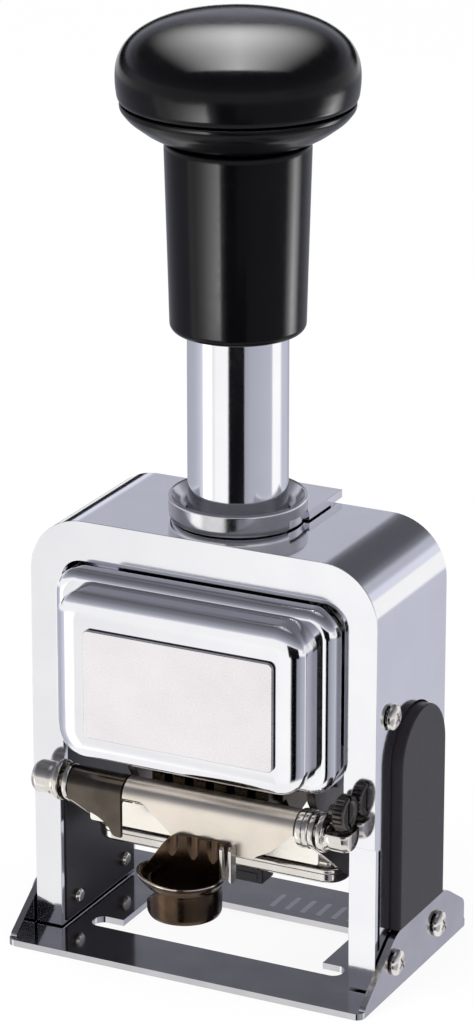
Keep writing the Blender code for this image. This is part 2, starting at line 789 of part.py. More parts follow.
def make_rear_plate():
    near = cheek_rear_y + fit_gap
    plate = rounded(-rear_plate_half, rear_plate_half, rear_plate_bottom_z, rear_plate_top_z,
                    rear_plate_corner)
    rear = slab("carriage_rear_plate", [plate], "XZ", near, near + rear_plate_thickness)
    cut(rear, cylinder("selector_hole", selector_pin_radius + run_gap,
                       (0, near - overrun, selector_z), (0, near + overrun, selector_z), small_steps))
    finish(rear, steel)
    face = near + rear_plate_thickness + run_gap
    dial = cylinder("repeat_selector", selector_radius, (0, face, selector_z),
                    (0, face + selector_height, selector_z), plain_steps)
    fuse(dial, cylinder("selector_pin", selector_pin_radius, (0, near, selector_z),
                        (0, face + selector_height / 2, selector_z), small_steps))
    fuse(dial, box("selector_grip", (-selector_grip_width / 2, face + selector_height / 2,
                                     selector_z - selector_grip_low),
                   (selector_grip_width / 2, face + selector_height + selector_grip_rise,
                    selector_z + selector_grip_high)))
    finish(dial, brass, (0, face, selector_z))


def wheel_left(number):
    return -pack_half + number * wheel_pitch


def ratchet_middle(number):
    return wheel_left(number) + wheel_pitch - wheel_gap / 2 - ratchet_width / 2


def make_wheels():
    """Figure wheels: ten raised faces on a rim, and a ratchet on the right of each."""
    step = tau / figures
    face = wheel_radius * sin(step / 2) * figure_width_share
    high = wheel_radius * cos(step / 2 * figure_width_share)
    low = high - figure_depth
    rim, teeth = [], []
    for i in range(figures):
        turn = i * step
        for across, out in ((-face, low), (-face, high), (face, high), (face, low)):
            rim.append((out * cos(turn) - across * sin(turn), out * sin(turn) + across * cos(turn)))
        for share, radius in ((0, ratchet_radius - ratchet_tooth), (ratchet_rise_share, ratchet_radius)):
            angle = turn + share * step
            teeth.append((radius * cos(angle), radius * sin(angle)))
    for number in range(wheel_count):
        left = wheel_left(number) + wheel_gap / 2
        type_right = left + wheel_pitch - wheel_gap - ratchet_width
        wheel = slab("number_wheel_%d" % (number + 1), [rim], "YZ", left, type_right)
        fuse(wheel, slab("ratchet", [teeth], "YZ", type_right - ratchet_width / 2,
                         type_right + ratchet_width), "MANIFOLD")
        cut(wheel, cylinder("bore", shaft_radius + run_gap, (left - overrun, 0, 0),
                            (type_right + overrun, 0, 0), small_steps), "MANIFOLD")
        finish(wheel, nickel)
        wheel.location = (0, 0, wheel_z)


def polar(radius, angle):
    """A place around the wheel shaft, in depth and height."""
    return (radius * cos(angle), wheel_z + radius * sin(angle))


def comb_fingers(target, angle, reach):
    """Fingers that reach from a bar down to each wheel's ratchet."""
    tip = ratchet_radius + pawl_gap
    for number in range(wheel_count):
        middle = ratchet_middle(number)
        corners = []
        for radius, side in ((tip, -1), (tip, 1), (reach, 1), (reach, -1)):
            across = side * pawl_depth / 2
            corners.append((radius * cos(angle) - across * sin(angle),
                            wheel_z + radius * sin(angle) + across * cos(angle)))
        fuse(target, slab("finger", [corners], "YZ", middle - finger_thickness / 2,
                          middle + finger_thickness / 2))


def make_feed():
    arm_left = pack_half + fit_gap + run_gap
    pin = polar(rocker_reach, rocker_rest)
    bar_end = arm_left + rocker_thickness / 2
    rocker = cylinder("feed_rocker", rocker_bar_radius, (-bar_end, *pin), (bar_end, *pin), small_steps)
    aside = rocker_rest + pi / 2
    ear = 2 * rocker_bar_radius
    outline = (arc((0, wheel_z), rocker_hub_radius, aside, aside + pi)
               + arc(pin, ear, aside - pi, aside))
    for side in (-1, 1):
        edges = sorted((side * arm_left, side * (arm_left + rocker_thickness)))
        fuse(rocker, slab("rocker_arm", [outline], "YZ", edges[0], edges[1]))
    cut(rocker, cylinder("rocker_bore", shaft_radius + run_gap, (-cheek_outer, 0, wheel_z),
                         (cheek_outer, 0, wheel_z), small_steps))
    finish(rocker, steel, (0, 0, wheel_z))
    pawl = cylinder("feed_pawl", rocker_bar_radius + fit_gap + pawl_wall,
                    (-pack_half + wheel_gap, *pin), (pack_half - wheel_gap, *pin), small_steps)
    comb_fingers(pawl, rocker_rest, rocker_reach)
    cut(pawl, cylinder("pawl_bore", rocker_bar_radius + fit_gap, (-pack_half - overrun, *pin),
                       (pack_half + overrun, *pin), small_steps))
    finish(pawl, brass, (0, 0, wheel_z))
    place = polar(comb_reach, comb_angle)
    comb = cylinder("detent_comb", rocker_bar_radius, (-cheek_inner + fit_gap, *place),
                    (cheek_inner - fit_gap, *place), small_steps)
    comb_fingers(comb, comb_angle, comb_reach)
    finish(comb, steel)


def make_pad_hinge():
    """A rod between two brackets that stand against the legs, and the thumbscrew on the right one."""
    axis = (hinge_y, hinge_z)
    far = stud_start + stud_length
    near = stud_start - stud_rim
    disc_face = near + disc_thickness
    finish(cylinder("pad_pivot_rod", hinge_rod_radius, (-far + stud_rim, *axis),
                    (disc_face, *axis), small_steps), nickel)
    bore = hinge_rod_radius + fit_gap
    for side, label in ((-1, "left"), (1, "right")):
        bracket = cylinder("pad_bracket_" + label, stud_radius, (side * stud_start, *axis),
                           (side * far, *axis))
        if side < 0:
            fuse(bracket, cylinder("stud_rim", stud_rim_radius, (-near, *axis),
                                   (-stud_start - stud_rim / 2, *axis)))
        else:
            fuse(bracket, cylinder("stud_disc", disc_radius, (near, *axis), (disc_face, *axis)))
            cut(bracket, box("thumb_room", (disc_face, thumb_y - overrun, thumb_z - thumb_radius - run_gap),
                             (far + overrun, thumb_y + overrun, thumb_z)))
        cut(bracket, cylinder("stud_bore", bore, (side * (near - overrun), *axis),
                              (side * (far - stud_rim + fit_gap), *axis), small_steps))
        finish(bracket, nickel)
    start = disc_face + run_gap
    place = (thumb_y, thumb_z)
    head = start + thumb_shank_length
    screw = cylinder("pad_thumbscrew", thumb_radius, (head, *place), (head + thumb_thickness, *place))
    fuse(screw, cylinder("thumb_shank", thumb_shank, (start, *place),
                         (head + thumb_thickness / 2, *place), small_steps))
    finish(screw, steel, (start, *place))


def make_pad_holder():
    """Barrel round the rod, two arms, a floor under the tray and an apron at the front."""
    axis = (hinge_y, hinge_z)
    inner = arm_outer - arm_thickness
    holder = cylinder("pad_carrier", barrel_radius, (-inner - arm_thickness / 2, *axis),
                      (inner + arm_thickness / 2, *axis), plain_steps)
    floor_low = holder_floor_z
    arm = ([(holder_front_y, floor_low), (holder_rear_y, floor_low),
            (holder_rear_y, floor_low + arm_rear_rise)]
           + arc(axis, arm_ear_radius, arm_ear_start, arm_ear_end))
    for side in (-1, 1):
        edges = sorted((side * inner, side * arm_outer))
        fuse(holder, slab("holder_arm", [arm], "YZ", edges[0], edges[1]))
    fuse(holder, box("holder_floor", (-inner - arm_thickness / 2, holder_front_y + holder_sheet / 2,
                                      floor_low + fit_gap / 2),
                     (inner + arm_thickness / 2, holder_rear_y - holder_sheet / 2,
                      floor_low + holder_sheet)))
    foot_z = hinge_z - apron_height
    apron = [(apron_left - apron_foot_reach, foot_z), (inner - apron_foot_inset, foot_z),
             (inner - apron_right_inset, hinge_z), (apron_left - apron_left_reach, hinge_z)]
    apron_y = hinge_y - barrel_radius
    fuse(holder, slab("apron", [apron], "XZ", apron_y, apron_y + holder_sheet))
    cut(holder, cylinder("hinge_bore", hinge_rod_radius + run_gap, (-arm_outer - overrun, *axis),
                         (arm_outer + overrun, *axis), small_steps))
    finish(holder, nickel, (0, *axis))
    make_tray_and_pad(inner)


def make_tray_and_pad(inner):
    half = inner - fit_gap
    front, rear = holder_front_y + holder_sheet, holder_rear_y - fit_gap
    low = holder_floor_z + holder_sheet + fit_gap
    tray = box("pad_tray", (-half, front, low), (half, rear, low + tray_height))
    cut(tray, box("tray_well", (-half + tray_wall, front + tray_wall, low + tray_wall),
                  (half - tray_wall, rear - tray_wall, low + tray_height + overrun)))
    pivot = (0, hinge_y, hinge_z)
    finish(tray, nickel, pivot)
    edge = tray_wall + fit_gap
    felt_low = low + edge
    felt_top = wheel_z - wheel_radius - fit_gap
    finish(box("ink_pad", (-half + edge, front + edge, felt_low),
               (half - edge, rear - edge, felt_top)), felt, pivot)


def half_turned(name, profile, place_y, back, ring=False):
    """A turned piece of the tab, cut off behind the tab's back wall."""
    made = turned(name, profile, plain_steps, ring)
    made.location = (tab_middle, place_y, 0)
    reach = 2 * dish_radius
    return cut(made, box(name + "_rear", (tab_middle - reach, back - tab_sheet / 2, dish_z - reach),
                         (tab_middle + reach, back + reach, dish_z + reach)))


def make_finger_tab():
    back = hinge_y - barrel_radius - fit_gap
    root = back - tab_sheet
    foot = dish_radius - tab_sheet
    wall = [(tab_middle - foot, dish_z - dish_depth / 2), (tab_middle + foot, dish_z - dish_depth / 2),
            (tab_middle + tab_top_half + tab_top_shift, tab_root_z),
            (tab_middle - tab_top_half + tab_top_shift, tab_root_z)]
    tab = slab("finger_tab", [wall], "XZ", root, back)
    low = dish_z - dish_depth
    flat = dish_radius * dish_flat_share
    dish = [(0, low), (flat, low), (dish_radius - tab_sheet, dish_z), (dish_radius, dish_z),
            (dish_radius, dish_z - tab_sheet), (flat, low - tab_sheet), (0, low - tab_sheet)]
    place_y = root - tab_forward
    fuse(tab, half_turned("tab_dish", dish, place_y, back))
    rim = dish_radius - skirt_inset
    skirt = [(rim, dish_z - tab_sheet / 2), (rim, dish_z - skirt_height),
             (rim - tab_sheet, dish_z - skirt_height), (rim - tab_sheet, dish_z - tab_sheet / 2)]
    fuse(tab, half_turned("tab_skirt", skirt, place_y, back, ring=True))
    fuse(tab, box("tab_web", (tab_middle + web_near, back - web_reach, dish_z - tab_sheet / 3),
                  (tab_middle + web_far, back - tab_sheet / 3, tab_root_z - tab_sheet / 3)))
    finish(tab, warm_nickel, (0, hinge_y, hinge_z))


def center_machine():
    """Puts the middle of the machine's depth over the origin."""
    bpy.context.view_layer.update()
    depths = [(piece.matrix_world @ vert.co).y for piece in parts.objects if piece.type == "MESH"
              for vert in piece.data.vertices]
    machine.location.y = -(min(depths) + max(depths)) / 2
    print("plunger axis at y = %.3f mm" % (machine.location.y / mm))


clear_scene()
parts = collection("numbering_machine")
tools = collection("cutters", hidden=True)
machine = bpy.data.objects.new("machine", None)
parts.objects.link(machine)

chrome = material("chrome", (0.78, 0.78, 0.80), 1.0, 0.06)
nickel = material("nickel", (0.70, 0.68, 0.65), 1.0, 0.18)
warm_nickel = material("warm_nickel", (0.50, 0.42, 0.34), 1.0, 0.16)
steel = material("steel", (0.55, 0.55, 0.56), 1.0, 0.30)
satin = material("satin", (0.86, 0.84, 0.85), 0.6, 0.40)
brass = material("brass", (0.72, 0.56, 0.28), 1.0, 0.28)
gloss_black = material("gloss_black", (0.012, 0.012, 0.013), 0.0, 0.08)
black_plastic = material("black_plastic", (0.03, 0.028, 0.034), 0.0, 0.35)
felt = material("felt", (0.80, 0.74, 0.65), 0.0, 0.95)

make_base_plate()
make_frame()
make_screws()
make_inserts()
make_cover()
make_knob()
make_plunger()
make_collar()
make_lock()
make_bridge()
make_spring()
make_yoke()
make_rear_plate()
make_wheels()
make_feed()
make_pad_hinge()
make_pad_holder()
make_finger_tab()
center_machine()
print("numbering machine: %d pieces" % (len(parts.objects) - 1))
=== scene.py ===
from math import cos, pi, radians, sin, tau

import bmesh
import bpy
from mathutils import Matrix, Vector


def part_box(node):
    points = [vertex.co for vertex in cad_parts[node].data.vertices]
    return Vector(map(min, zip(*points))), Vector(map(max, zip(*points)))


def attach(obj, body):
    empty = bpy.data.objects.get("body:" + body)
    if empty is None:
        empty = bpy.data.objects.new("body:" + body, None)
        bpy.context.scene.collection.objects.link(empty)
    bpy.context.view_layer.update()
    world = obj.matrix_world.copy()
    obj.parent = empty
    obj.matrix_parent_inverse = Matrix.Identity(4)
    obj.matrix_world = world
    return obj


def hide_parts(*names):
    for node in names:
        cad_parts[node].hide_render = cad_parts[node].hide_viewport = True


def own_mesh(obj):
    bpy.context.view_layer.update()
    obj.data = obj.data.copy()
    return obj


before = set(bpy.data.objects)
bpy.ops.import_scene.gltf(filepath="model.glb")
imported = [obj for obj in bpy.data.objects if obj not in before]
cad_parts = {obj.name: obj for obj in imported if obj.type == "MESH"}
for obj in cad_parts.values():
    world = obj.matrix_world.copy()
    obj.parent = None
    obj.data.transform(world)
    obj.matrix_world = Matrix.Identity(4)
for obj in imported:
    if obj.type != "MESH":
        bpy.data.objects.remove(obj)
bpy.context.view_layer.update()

mm = 0.001

# Everything below is modelled in millimetres about the plunger's axis, then set in place
tubeLow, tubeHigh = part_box("plunger_tube")
axisPlace = Vector((0, (tubeLow.y + tubeHigh.y) / 2, 0))


def span(node):
    low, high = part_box(node)
    return (low - axisPlace) / mm, (high - axisPlace) / mm


def meshFrom(name, shape):
    mesh = bpy.data.meshes.new(name)
    shape.to_mesh(mesh)
    shape.free()
    return mesh


def addObject(name, data):
    made = bpy.data.objects.new(name, data)
    bpy.context.scene.collection.objects.link(made)
    return made


def bareMaterial(name):
    made = bpy.data.materials.new(name)
    made.use_nodes = True
    made.node_tree.nodes.clear()
    return made


# where the photograph was taken from, in degrees and millimetres
view = {
    "azimuth": 26.54, "elevation": 19.54, "distance": 782.0, "target": 82.19,
    "lens": 157.36, "sensor": 36.0, "shift": (-0.00156, -0.00645), "clip": (0.05, 20),
}


def makeCamera():
    turn, lift = radians(view["azimuth"]), radians(view["elevation"])
    away = Vector((cos(lift) * sin(turn), -cos(lift) * cos(turn), sin(lift)))
    target = axisPlace + Vector((0, 0, view["target"] * mm))
    data = bpy.data.cameras.new("photoCamera")
    data.lens = view["lens"]
    data.sensor_width = view["sensor"]
    data.shift_x, data.shift_y = view["shift"]
    data.clip_start, data.clip_end = view["clip"]
    camera = addObject("photoCamera", data)
    camera.location = target + away * view["distance"] * mm
    camera.rotation_euler = (-away).to_track_quat("-Z", "Y").to_euler()
    bpy.context.scene.camera = camera


def addNode(tree, kind, settings=None, **values):
    node = tree.nodes.new(kind)
    for key, value in (settings or {}).items():
        setattr(node, key, value)
    for key, value in values.items():
        node.inputs[key.replace("_", " ")].default_value = value
    return node


def shine(display, tint=(1.0, 1.0, 1.0)):
    return tuple((display * part) ** 2.2 for part in tint) + (1.0,)


def addRamp(tree, stops, interpolation="LINEAR"):
    node = tree.nodes.new("ShaderNodeValToRGB")
    ramp = node.color_ramp
    ramp.interpolation = interpolation
    while len(ramp.elements) > 1:
        ramp.elements.remove(ramp.elements[-1])
    ramp.elements[0].position, ramp.elements[0].color = stops[0]
    for place, color in stops[1:]:
        ramp.elements.new(place).color = color
    return node


def addMath(tree, operation, first, second=None):
    node = tree.nodes.new("ShaderNodeMath")
    node.operation = operation
    for socket, value in zip(node.inputs, (first, second)):
        if value is None:
            continue
        if isinstance(value, (int, float)):
            socket.default_value = value
        else:
            tree.links.new(value, socket)
    return node.outputs[0]


def mixColor(tree, factor, first, second, blend="MIX"):
    node = tree.nodes.new("ShaderNodeMix")
    node.data_type, node.blend_type = "RGBA", blend
    for socket, value in zip((node.inputs[0], node.inputs[6], node.inputs[7]), (factor, first, second)):
        if hasattr(value, "is_linked"):
            tree.links.new(value, socket)
        else:
            socket.default_value = value
    return node.outputs[2]


studio = {
    # two plain lamps: place, size and power, both turned to one point on the machine
    "key": ((-0.45, -0.55, 0.85), 0.7, 5.0), "fill": ((0.7, -0.2, 0.6), 0.6, 2.0), "aim": (0, 0, 0.08),
    "diffuse": 0.86, "floorGlow": 0.90, "floorColor": 0.92, "floorSize": 6,
    "lavender": (0.975, 0.985, 1.05), "neutralFrom": 0.93,
    # what polished metal sees, by height above the horizon in degrees: behind the machine and before it
    "riseBack": [(-90, 1.0), (-3, 1.0), (0, 0.14), (5, 0.14), (8, 0.92), (13, 0.92), (16, 0.74), (21.5, 0.74),
                 (24, 0.50), (28, 0.36), (36, 0.32), (46, 0.50), (60, 0.50), (70, 0.78), (90, 0.84)],
    "riseFront": [(-90, 1.0), (0, 1.0), (6, 0.82), (15, 0.64), (30, 0.48), (60, 0.36), (75, 0.60),
                  (90, 0.84)],
    # the way to the back, and where the one fades into the other
    "behind": (-0.447, 0.894, 0), "turnOver": (0.32, 0.60),
    # along the horizon by compass bearing, 0 toward +X
    "skyline": [(-180, 0.86), (-165, 1.0), (-20, 1.0), (-5, 0.86), (25, 0.9), (35, 1.0), (76, 1.0),
                (84, 0.10), (150, 0.10), (165, 0.50), (180, 0.86)],
    # and on the floor by compass bearing
    "bearing": [(-180, 0.72), (-165, 0.78), (-152, 0.86), (-146, 1.26), (-130, 1.25), (-124, 0.98),
                (-119, 0.95), (-116, 1.02), (-87, 1.03), (-84, 0.05), (-67, 0.05), (-64.5, 0.58),
                (-35, 0.70), (18, 0.76), (22, 1.04), (46, 1.04), (54, 0.80), (82, 0.78), (90, 0.70),
                (117, 0.66), (135, 0.68), (180, 0.72)],
    # the heights over which these two show
    "skylineBand": [(-5, 0), (-3, 1), (6, 1), (8, 0)],
    "bearingBand": [(-48, 0), (-40, 1), (-12.5, 1), (-10, 0)],
    # a dark card that the tube mirrors as its black stripe: bearing, distance, width, lowest and highest
    "card": (-66.0, 0.150, 0.088, 0.026, 0.078), "cardColor": (0.005, 0.0045, 0.006, 1),
    # lights that only the black handle mirrors: bearing, distance, height, width, depth, power, then the
    # brightest point across and along, and how fast the light falls off from it
    "strips": [(-112.5, 0.150, 0.092, 0.118, 0.066, 0.46, 1.0, 0.2, 1.0, 0.4),
               (33.5, 0.150, 0.092, 0.100, 0.066, 0.30, 0.5, 0.2, 2.0, 0.4)],
    "box": (116.54, 0.55, 0.79, 1.20, 1.66, 250.0, 0.5, 0.0, 2.0, 0.95), "fallPower": 1.5,
}


def makeWorld():
    world = bpy.data.worlds.new("studio")
    world.use_nodes = True
    tree = world.node_tree
    tree.nodes.clear()
    link = tree.links.new
    coords = tree.nodes.new("ShaderNodeTexCoord")
    apart = tree.nodes.new("ShaderNodeSeparateXYZ")
    link(coords.outputs["Generated"], apart.inputs[0])
    height = addMath(tree, "ARCSINE", apart.outputs["Z"])
    height = addMath(tree, "ADD", addMath(tree, "DIVIDE", height, pi), 0.5)
    around = addMath(tree, "ARCTAN2", apart.outputs["Y"], apart.outputs["X"])
    around = addMath(tree, "ADD", addMath(tree, "DIVIDE", around, tau), 0.5)

    def toned(stops, value, whole):
        # greys take the lavender of the backdrop, whites stay neutral
        tones = []
        for angle, tone in stops:
            tint = studio["lavender"] if tone < studio["neutralFrom"] else (1, 1, 1)
            tones.append(((angle + whole / 2) / whole, shine(tone, tint)))
        made = addRamp(tree, tones)
        link(value, made.inputs[0])
        return made.outputs[0]

    def zone(stops):
        made = addRamp(tree, [((angle + 90) / 180, (tone, tone, tone, 1)) for angle, tone in stops])
        link(height, made.inputs[0])
        return made.outputs[0]

    def along(direction):
        dot = tree.nodes.new("ShaderNodeVectorMath")
        dot.operation = "DOT_PRODUCT"
        link(coords.outputs["Generated"], dot.inputs[0])
        dot.inputs[1].default_value = direction
        return dot.outputs["Value"]

    def fade(value, start, stop):
        node = addNode(tree, "ShaderNodeMapRange", {"interpolation_type": "SMOOTHSTEP"}, From_Min=start,
                       From_Max=stop, To_Min=0.0, To_Max=1.0)
        link(value, node.inputs["Value"])
        return node.outputs[0]

    back = along(studio["behind"])
    seen = mixColor(tree, fade(back, *studio["turnOver"]), toned(studio["riseFront"], height, 180),
                    toned(studio["riseBack"], height, 180))
    for name in ("skyline", "bearing"):
        seen = mixColor(tree, zone(studio[name + "Band"]), seen, toned(studio[name], around, 360))
    path = tree.nodes.new("ShaderNodeLightPath")
    plain = (studio["diffuse"],) * 3 + (1,)
    shown = mixColor(tree, path.outputs["Is Glossy Ray"], plain, seen)
    shown = mixColor(tree, path.outputs["Is Camera Ray"], shown, (1, 1, 1, 1))
    shown = mixColor(tree, path.outputs["Is Transmission Ray"], shown, (1, 1, 1, 1))
    glow = tree.nodes.new("ShaderNodeBackground")
    link(shown, glow.inputs["Color"])
    out = tree.nodes.new("ShaderNodeOutputWorld")
    link(glow.outputs[0], out.inputs["Surface"])
    bpy.context.scene.world = world


def makeFloor():
    shape = bmesh.new()
    bmesh.ops.create_grid(shape, x_segments=1, y_segments=1, size=studio["floorSize"])
    floor = addObject("floor", meshFrom("floor", shape))
    made = bareMaterial("paleFloor")
    tree = made.node_tree
    lit = addNode(tree, "ShaderNodeBsdfDiffuse", Color=(studio["floorColor"],) * 3 + (1,))
    glow = addNode(tree, "ShaderNodeEmission", Color=(1, 1, 1, 1), Strength=1.0)
    path = tree.nodes.new("ShaderNodeLightPath")
    share = addMath(tree, "MULTIPLY", path.outputs["Is Camera Ray"], studio["floorGlow"])
    mix = tree.nodes.new("ShaderNodeMixShader")
    out = tree.nodes.new("ShaderNodeOutputMaterial")
    tree.links.new(share, mix.inputs[0])
    tree.links.new(lit.outputs[0], mix.inputs[1])
    tree.links.new(glow.outputs[0], mix.inputs[2])
    tree.links.new(mix.outputs[0], out.inputs["Surface"])
    floor.data.materials.append(made)
    floor.visible_glossy = False      # polished metal sees the studio instead


def makeLamp(name, place, size, power, high=None):
    data = bpy.data.lights.new(name, "AREA")
    data.shape = "RECTANGLE" if high else "DISK"
    data.size = size
    if high:
        data.size_y = high
    data.energy = power
    lamp = addObject(name, data)
    lamp.location = place
    lamp.rotation_euler = (Vector(studio["aim"]) - Vector(place)).to_track_quat("-Z", "Y").to_euler()
    return lamp


makeCamera()
makeWorld()
makeFloor()
for name in ("key", "fill"):
    makeLamp(name + "Lamp", *studio[name]).visible_glossy = False
bpy.context.scene.view_settings.view_transform = "Standard"
print("studio ready")


wear = {"stainSize": 9.0, "waveSize": 14.0, "dustSize": 6.0}      # millimetres, the same on all finishes


def newLook(name):
    made = bpy.data.materials.new(name)
    made.use_nodes = True
    shader = made.node_tree.nodes["Principled BSDF"]
    return made, made.node_tree, shader


def grain(tree, size, detail=3.0, stretch=(1, 1, 1)):
    # noise whose features are about size millimetres across
    coords = tree.nodes.new("ShaderNodeTexCoord")
    mapping = addNode(tree, "ShaderNodeMapping", Scale=stretch)
    noise = addNode(tree, "ShaderNodeTexNoise", Scale=1 / (size * mm), Detail=detail, Roughness=0.55)
    tree.links.new(coords.outputs["Object"], mapping.inputs["Vector"])
    tree.links.new(mapping.outputs[0], noise.inputs["Vector"])
    return noise.outputs["Fac"]


def spread(tree, value, low, high, edge=(0.3, 0.7)):
    node = addNode(tree, "ShaderNodeMapRange", From_Min=edge[0], From_Max=edge[1], To_Min=low, To_Max=high)
    tree.links.new(value, node.inputs["Value"])
    return node.outputs[0]


def bump(tree, value, shader, strength, depth):
    node = addNode(tree, "ShaderNodeBump", Strength=strength, Distance=depth * mm)
    tree.links.new(value, node.inputs["Height"])
    tree.links.new(node.outputs[0], shader.inputs["Normal"])


def metalLook(name, color, dark, rough, grainSize, stretch=(1, 1, 1), waves=0.03, scratch=0.02):
    # plated or brushed metal: uneven polish, faint stains and a slight wave in the surface
    made, tree, shader = newLook(name)
    shader.inputs["Metallic"].default_value = 1.0
    tint = mixColor(tree, spread(tree, grain(tree, wear["stainSize"], 4.0), 0, 1), (*color, 1), (*dark, 1))
    tree.links.new(tint, shader.inputs["Base Color"])
    fine = grain(tree, grainSize, 5.0, stretch)
    tree.links.new(spread(tree, fine, *rough), shader.inputs["Roughness"])
    wave = addMath(tree, "MULTIPLY", grain(tree, wear["waveSize"], 1.0), waves)
    height = addMath(tree, "ADD", wave, addMath(tree, "MULTIPLY", fine, scratch))
    bump(tree, height, shader, 0.6, 1.0)
    return made


chromeLook = metalLook("polishedChrome", (0.90, 0.90, 0.92), (0.86, 0.86, 0.89), (0.07, 0.12), 0.35,
                       waves=0.05, scratch=0.0015)
wornChrome = metalLook("wornChrome", (0.70, 0.69, 0.70), (0.50, 0.49, 0.51), (0.12, 0.22), 0.4,
                       waves=0.12, scratch=0.003)
nickelLook = metalLook("brightNickel", (0.80, 0.77, 0.72), (0.66, 0.62, 0.57), (0.10, 0.22), 0.30,
                       waves=0.03, scratch=0.004)
warmLook = metalLook("bronzedNickel", (0.11, 0.070, 0.045), (0.040, 0.027, 0.019), (0.16, 0.27), 0.4,
                     waves=0.05, scratch=0.004)
steelLook = metalLook("brushedSteel", (0.58, 0.58, 0.60), (0.46, 0.46, 0.48), (0.22, 0.38), 0.25,
                      stretch=(0.06, 1, 1), waves=0.02, scratch=0.008)
darkChrome = metalLook("darkChrome", (0.60, 0.59, 0.61), (0.52, 0.51, 0.53), (0.07, 0.13), 0.35,
                       waves=0.04, scratch=0.0006)
darkSteel = metalLook("darkSteel", (0.16, 0.145, 0.135), (0.09, 0.08, 0.075), (0.24, 0.40), 0.25,
                      stretch=(0.06, 1, 1), waves=0.02, scratch=0.008)
champagne = metalLook("champagneNickel", (0.84, 0.77, 0.68), (0.74, 0.67, 0.58), (0.30, 0.40), 0.25,
                      stretch=(0.08, 1, 1), waves=0.02, scratch=0.003)
brassLook = metalLook("turnedBrass", (0.76, 0.58, 0.28), (0.60, 0.44, 0.20), (0.18, 0.34), 0.3,
                      waves=0.02, scratch=0.006)
taupeLook = metalLook("taupeNickel", (0.17, 0.145, 0.12), (0.09, 0.075, 0.06), (0.18, 0.28), 0.3,
                      waves=0.03, scratch=0.004)
# a dark copy of the turned brass as painted shade: the figure wheels seen in the gap under the cover are
# darkened to stand in for the shadow that falls there
shadedBrass = metalLook("brassPaintedShade", (0.11, 0.085, 0.055), (0.06, 0.047, 0.035), (0.24, 0.38), 0.3,
                      waves=0.02, scratch=0.006)
creamLook = metalLook("creamNickel", (0.95, 0.91, 0.84), (0.90, 0.85, 0.77), (0.20, 0.28), 0.25,
                      stretch=(0.08, 1, 1), waves=0.01, scratch=0.002)
satinLook = metalLook("satinPlate", (0.86, 0.82, 0.83), (0.80, 0.765, 0.775), (0.24, 0.32), 0.2,
                      stretch=(0.05, 1, 1), waves=0.01, scratch=0.004)


def plasticLook(name, color, rough, gloss, grainSize, relief):
    made, tree, shader = newLook(name)
    dust = mixColor(tree, spread(tree, grain(tree, wear["dustSize"], 5.0), 0, 1), (*color, 1),
                    (*[part * 1.35 for part in color], 1))
    tree.links.new(dust, shader.inputs["Base Color"])
    fine = grain(tree, grainSize, 4.0)
    tree.links.new(spread(tree, fine, *rough), shader.inputs["Roughness"])
    shader.inputs["Specular IOR Level"].default_value = gloss
    bump(tree, fine, shader, 0.4, relief)
    return made


glossLook = plasticLook("glossBlack", (0.0022, 0.0019, 0.0026), (0.12, 0.18), 0.13, 1.2, 0.002)
plasticBlack = plasticLook("mouldedBlack", (0.014, 0.011, 0.015), (0.34, 0.50), 0.40, 0.25, 0.02)


def feltLook():
    made, tree, shader = newLook("inkFelt")
    fibre = grain(tree, 0.25, 6.0)
    blotch = grain(tree, 3.5, 3.0)
    cream = mixColor(tree, spread(tree, fibre, 0, 1), (0.74, 0.69, 0.60, 1), (0.93, 0.89, 0.81, 1))
    stain = mixColor(tree, spread(tree, blotch, 0, 0.5), cream, (0.70, 0.64, 0.55, 1))
    tree.links.new(stain, shader.inputs["Base Color"])
    tree.links.new(spread(tree, fibre, 0.85, 1.0), shader.inputs["Roughness"])
    shader.inputs["Sheen Weight"].default_value = 0.3
    bump(tree, fibre, shader, 0.8, 0.15)
    return made


feltCream = feltLook()
print("finishes ready")


past = 6      # cutting shapes reach this far past what they cut


def outline(corners):
    # one flat face; each corner is across, along and how far it is rounded
    shape = bmesh.new()
    groups = {}
    verts = []
    for corner in corners:
        vert = shape.verts.new((corner[0], corner[1], 0))
        verts.append(vert)
        if len(corner) > 2 and corner[2] > 0:
            groups.setdefault(corner[2], []).append(vert)
    shape.faces.new(verts)
    for radius, group in groups.items():
        bmesh.ops.bevel(shape, geom=group, offset=radius, offset_type="OFFSET", affect="VERTICES",
                        segments=max(4, min(16, int(radius * 2.5) + 2)), profile=0.5, material=-1)
    return shape


facing = {     # outline and thickness to the machine's axes
    "XY": Matrix(((1, 0, 0, 0), (0, 1, 0, 0), (0, 0, 1, 0), (0, 0, 0, 1))),
    "XZ": Matrix(((1, 0, 0, 0), (0, 0, 1, 0), (0, 1, 0, 0), (0, 0, 0, 1))),
    "YZ": Matrix(((0, 0, 1, 0), (1, 0, 0, 0), (0, 1, 0, 0), (0, 0, 0, 1))),
}


def slab(corners, plane, start, end, edge=0.0, segments=3, edgeEnd=None):
    # an outline made thick from start to end, its rims rounded by edge (edgeEnd at the far rim)
    shape = outline(corners)
    first = shape.faces[:]
    made = bmesh.ops.extrude_face_region(shape, geom=first)
    far = [item for item in made["geom"] if isinstance(item, bmesh.types.BMVert)]
    bmesh.ops.translate(shape, vec=(0, 0, end - start), verts=far)
    bmesh.ops.recalc_face_normals(shape, faces=shape.faces)
    for amount, sign in ((edge, -1), (edge if edgeEnd is None else edgeEnd, 1)):
        if amount > 0:
            caps = [face for face in shape.faces if face.normal.z * sign > 0.99]
            rims = list({line for face in caps for line in face.edges})
            bmesh.ops.bevel(shape, geom=rims, offset=amount, offset_type="OFFSET", affect="EDGES",
                            segments=segments, profile=0.5, material=-1, clamp_overlap=True)
    bmesh.ops.translate(shape, vec=(0, 0, start), verts=shape.verts)
    bmesh.ops.transform(shape, matrix=facing[plane], verts=shape.verts)
    bmesh.ops.recalc_face_normals(shape, faces=shape.faces)
    return shape


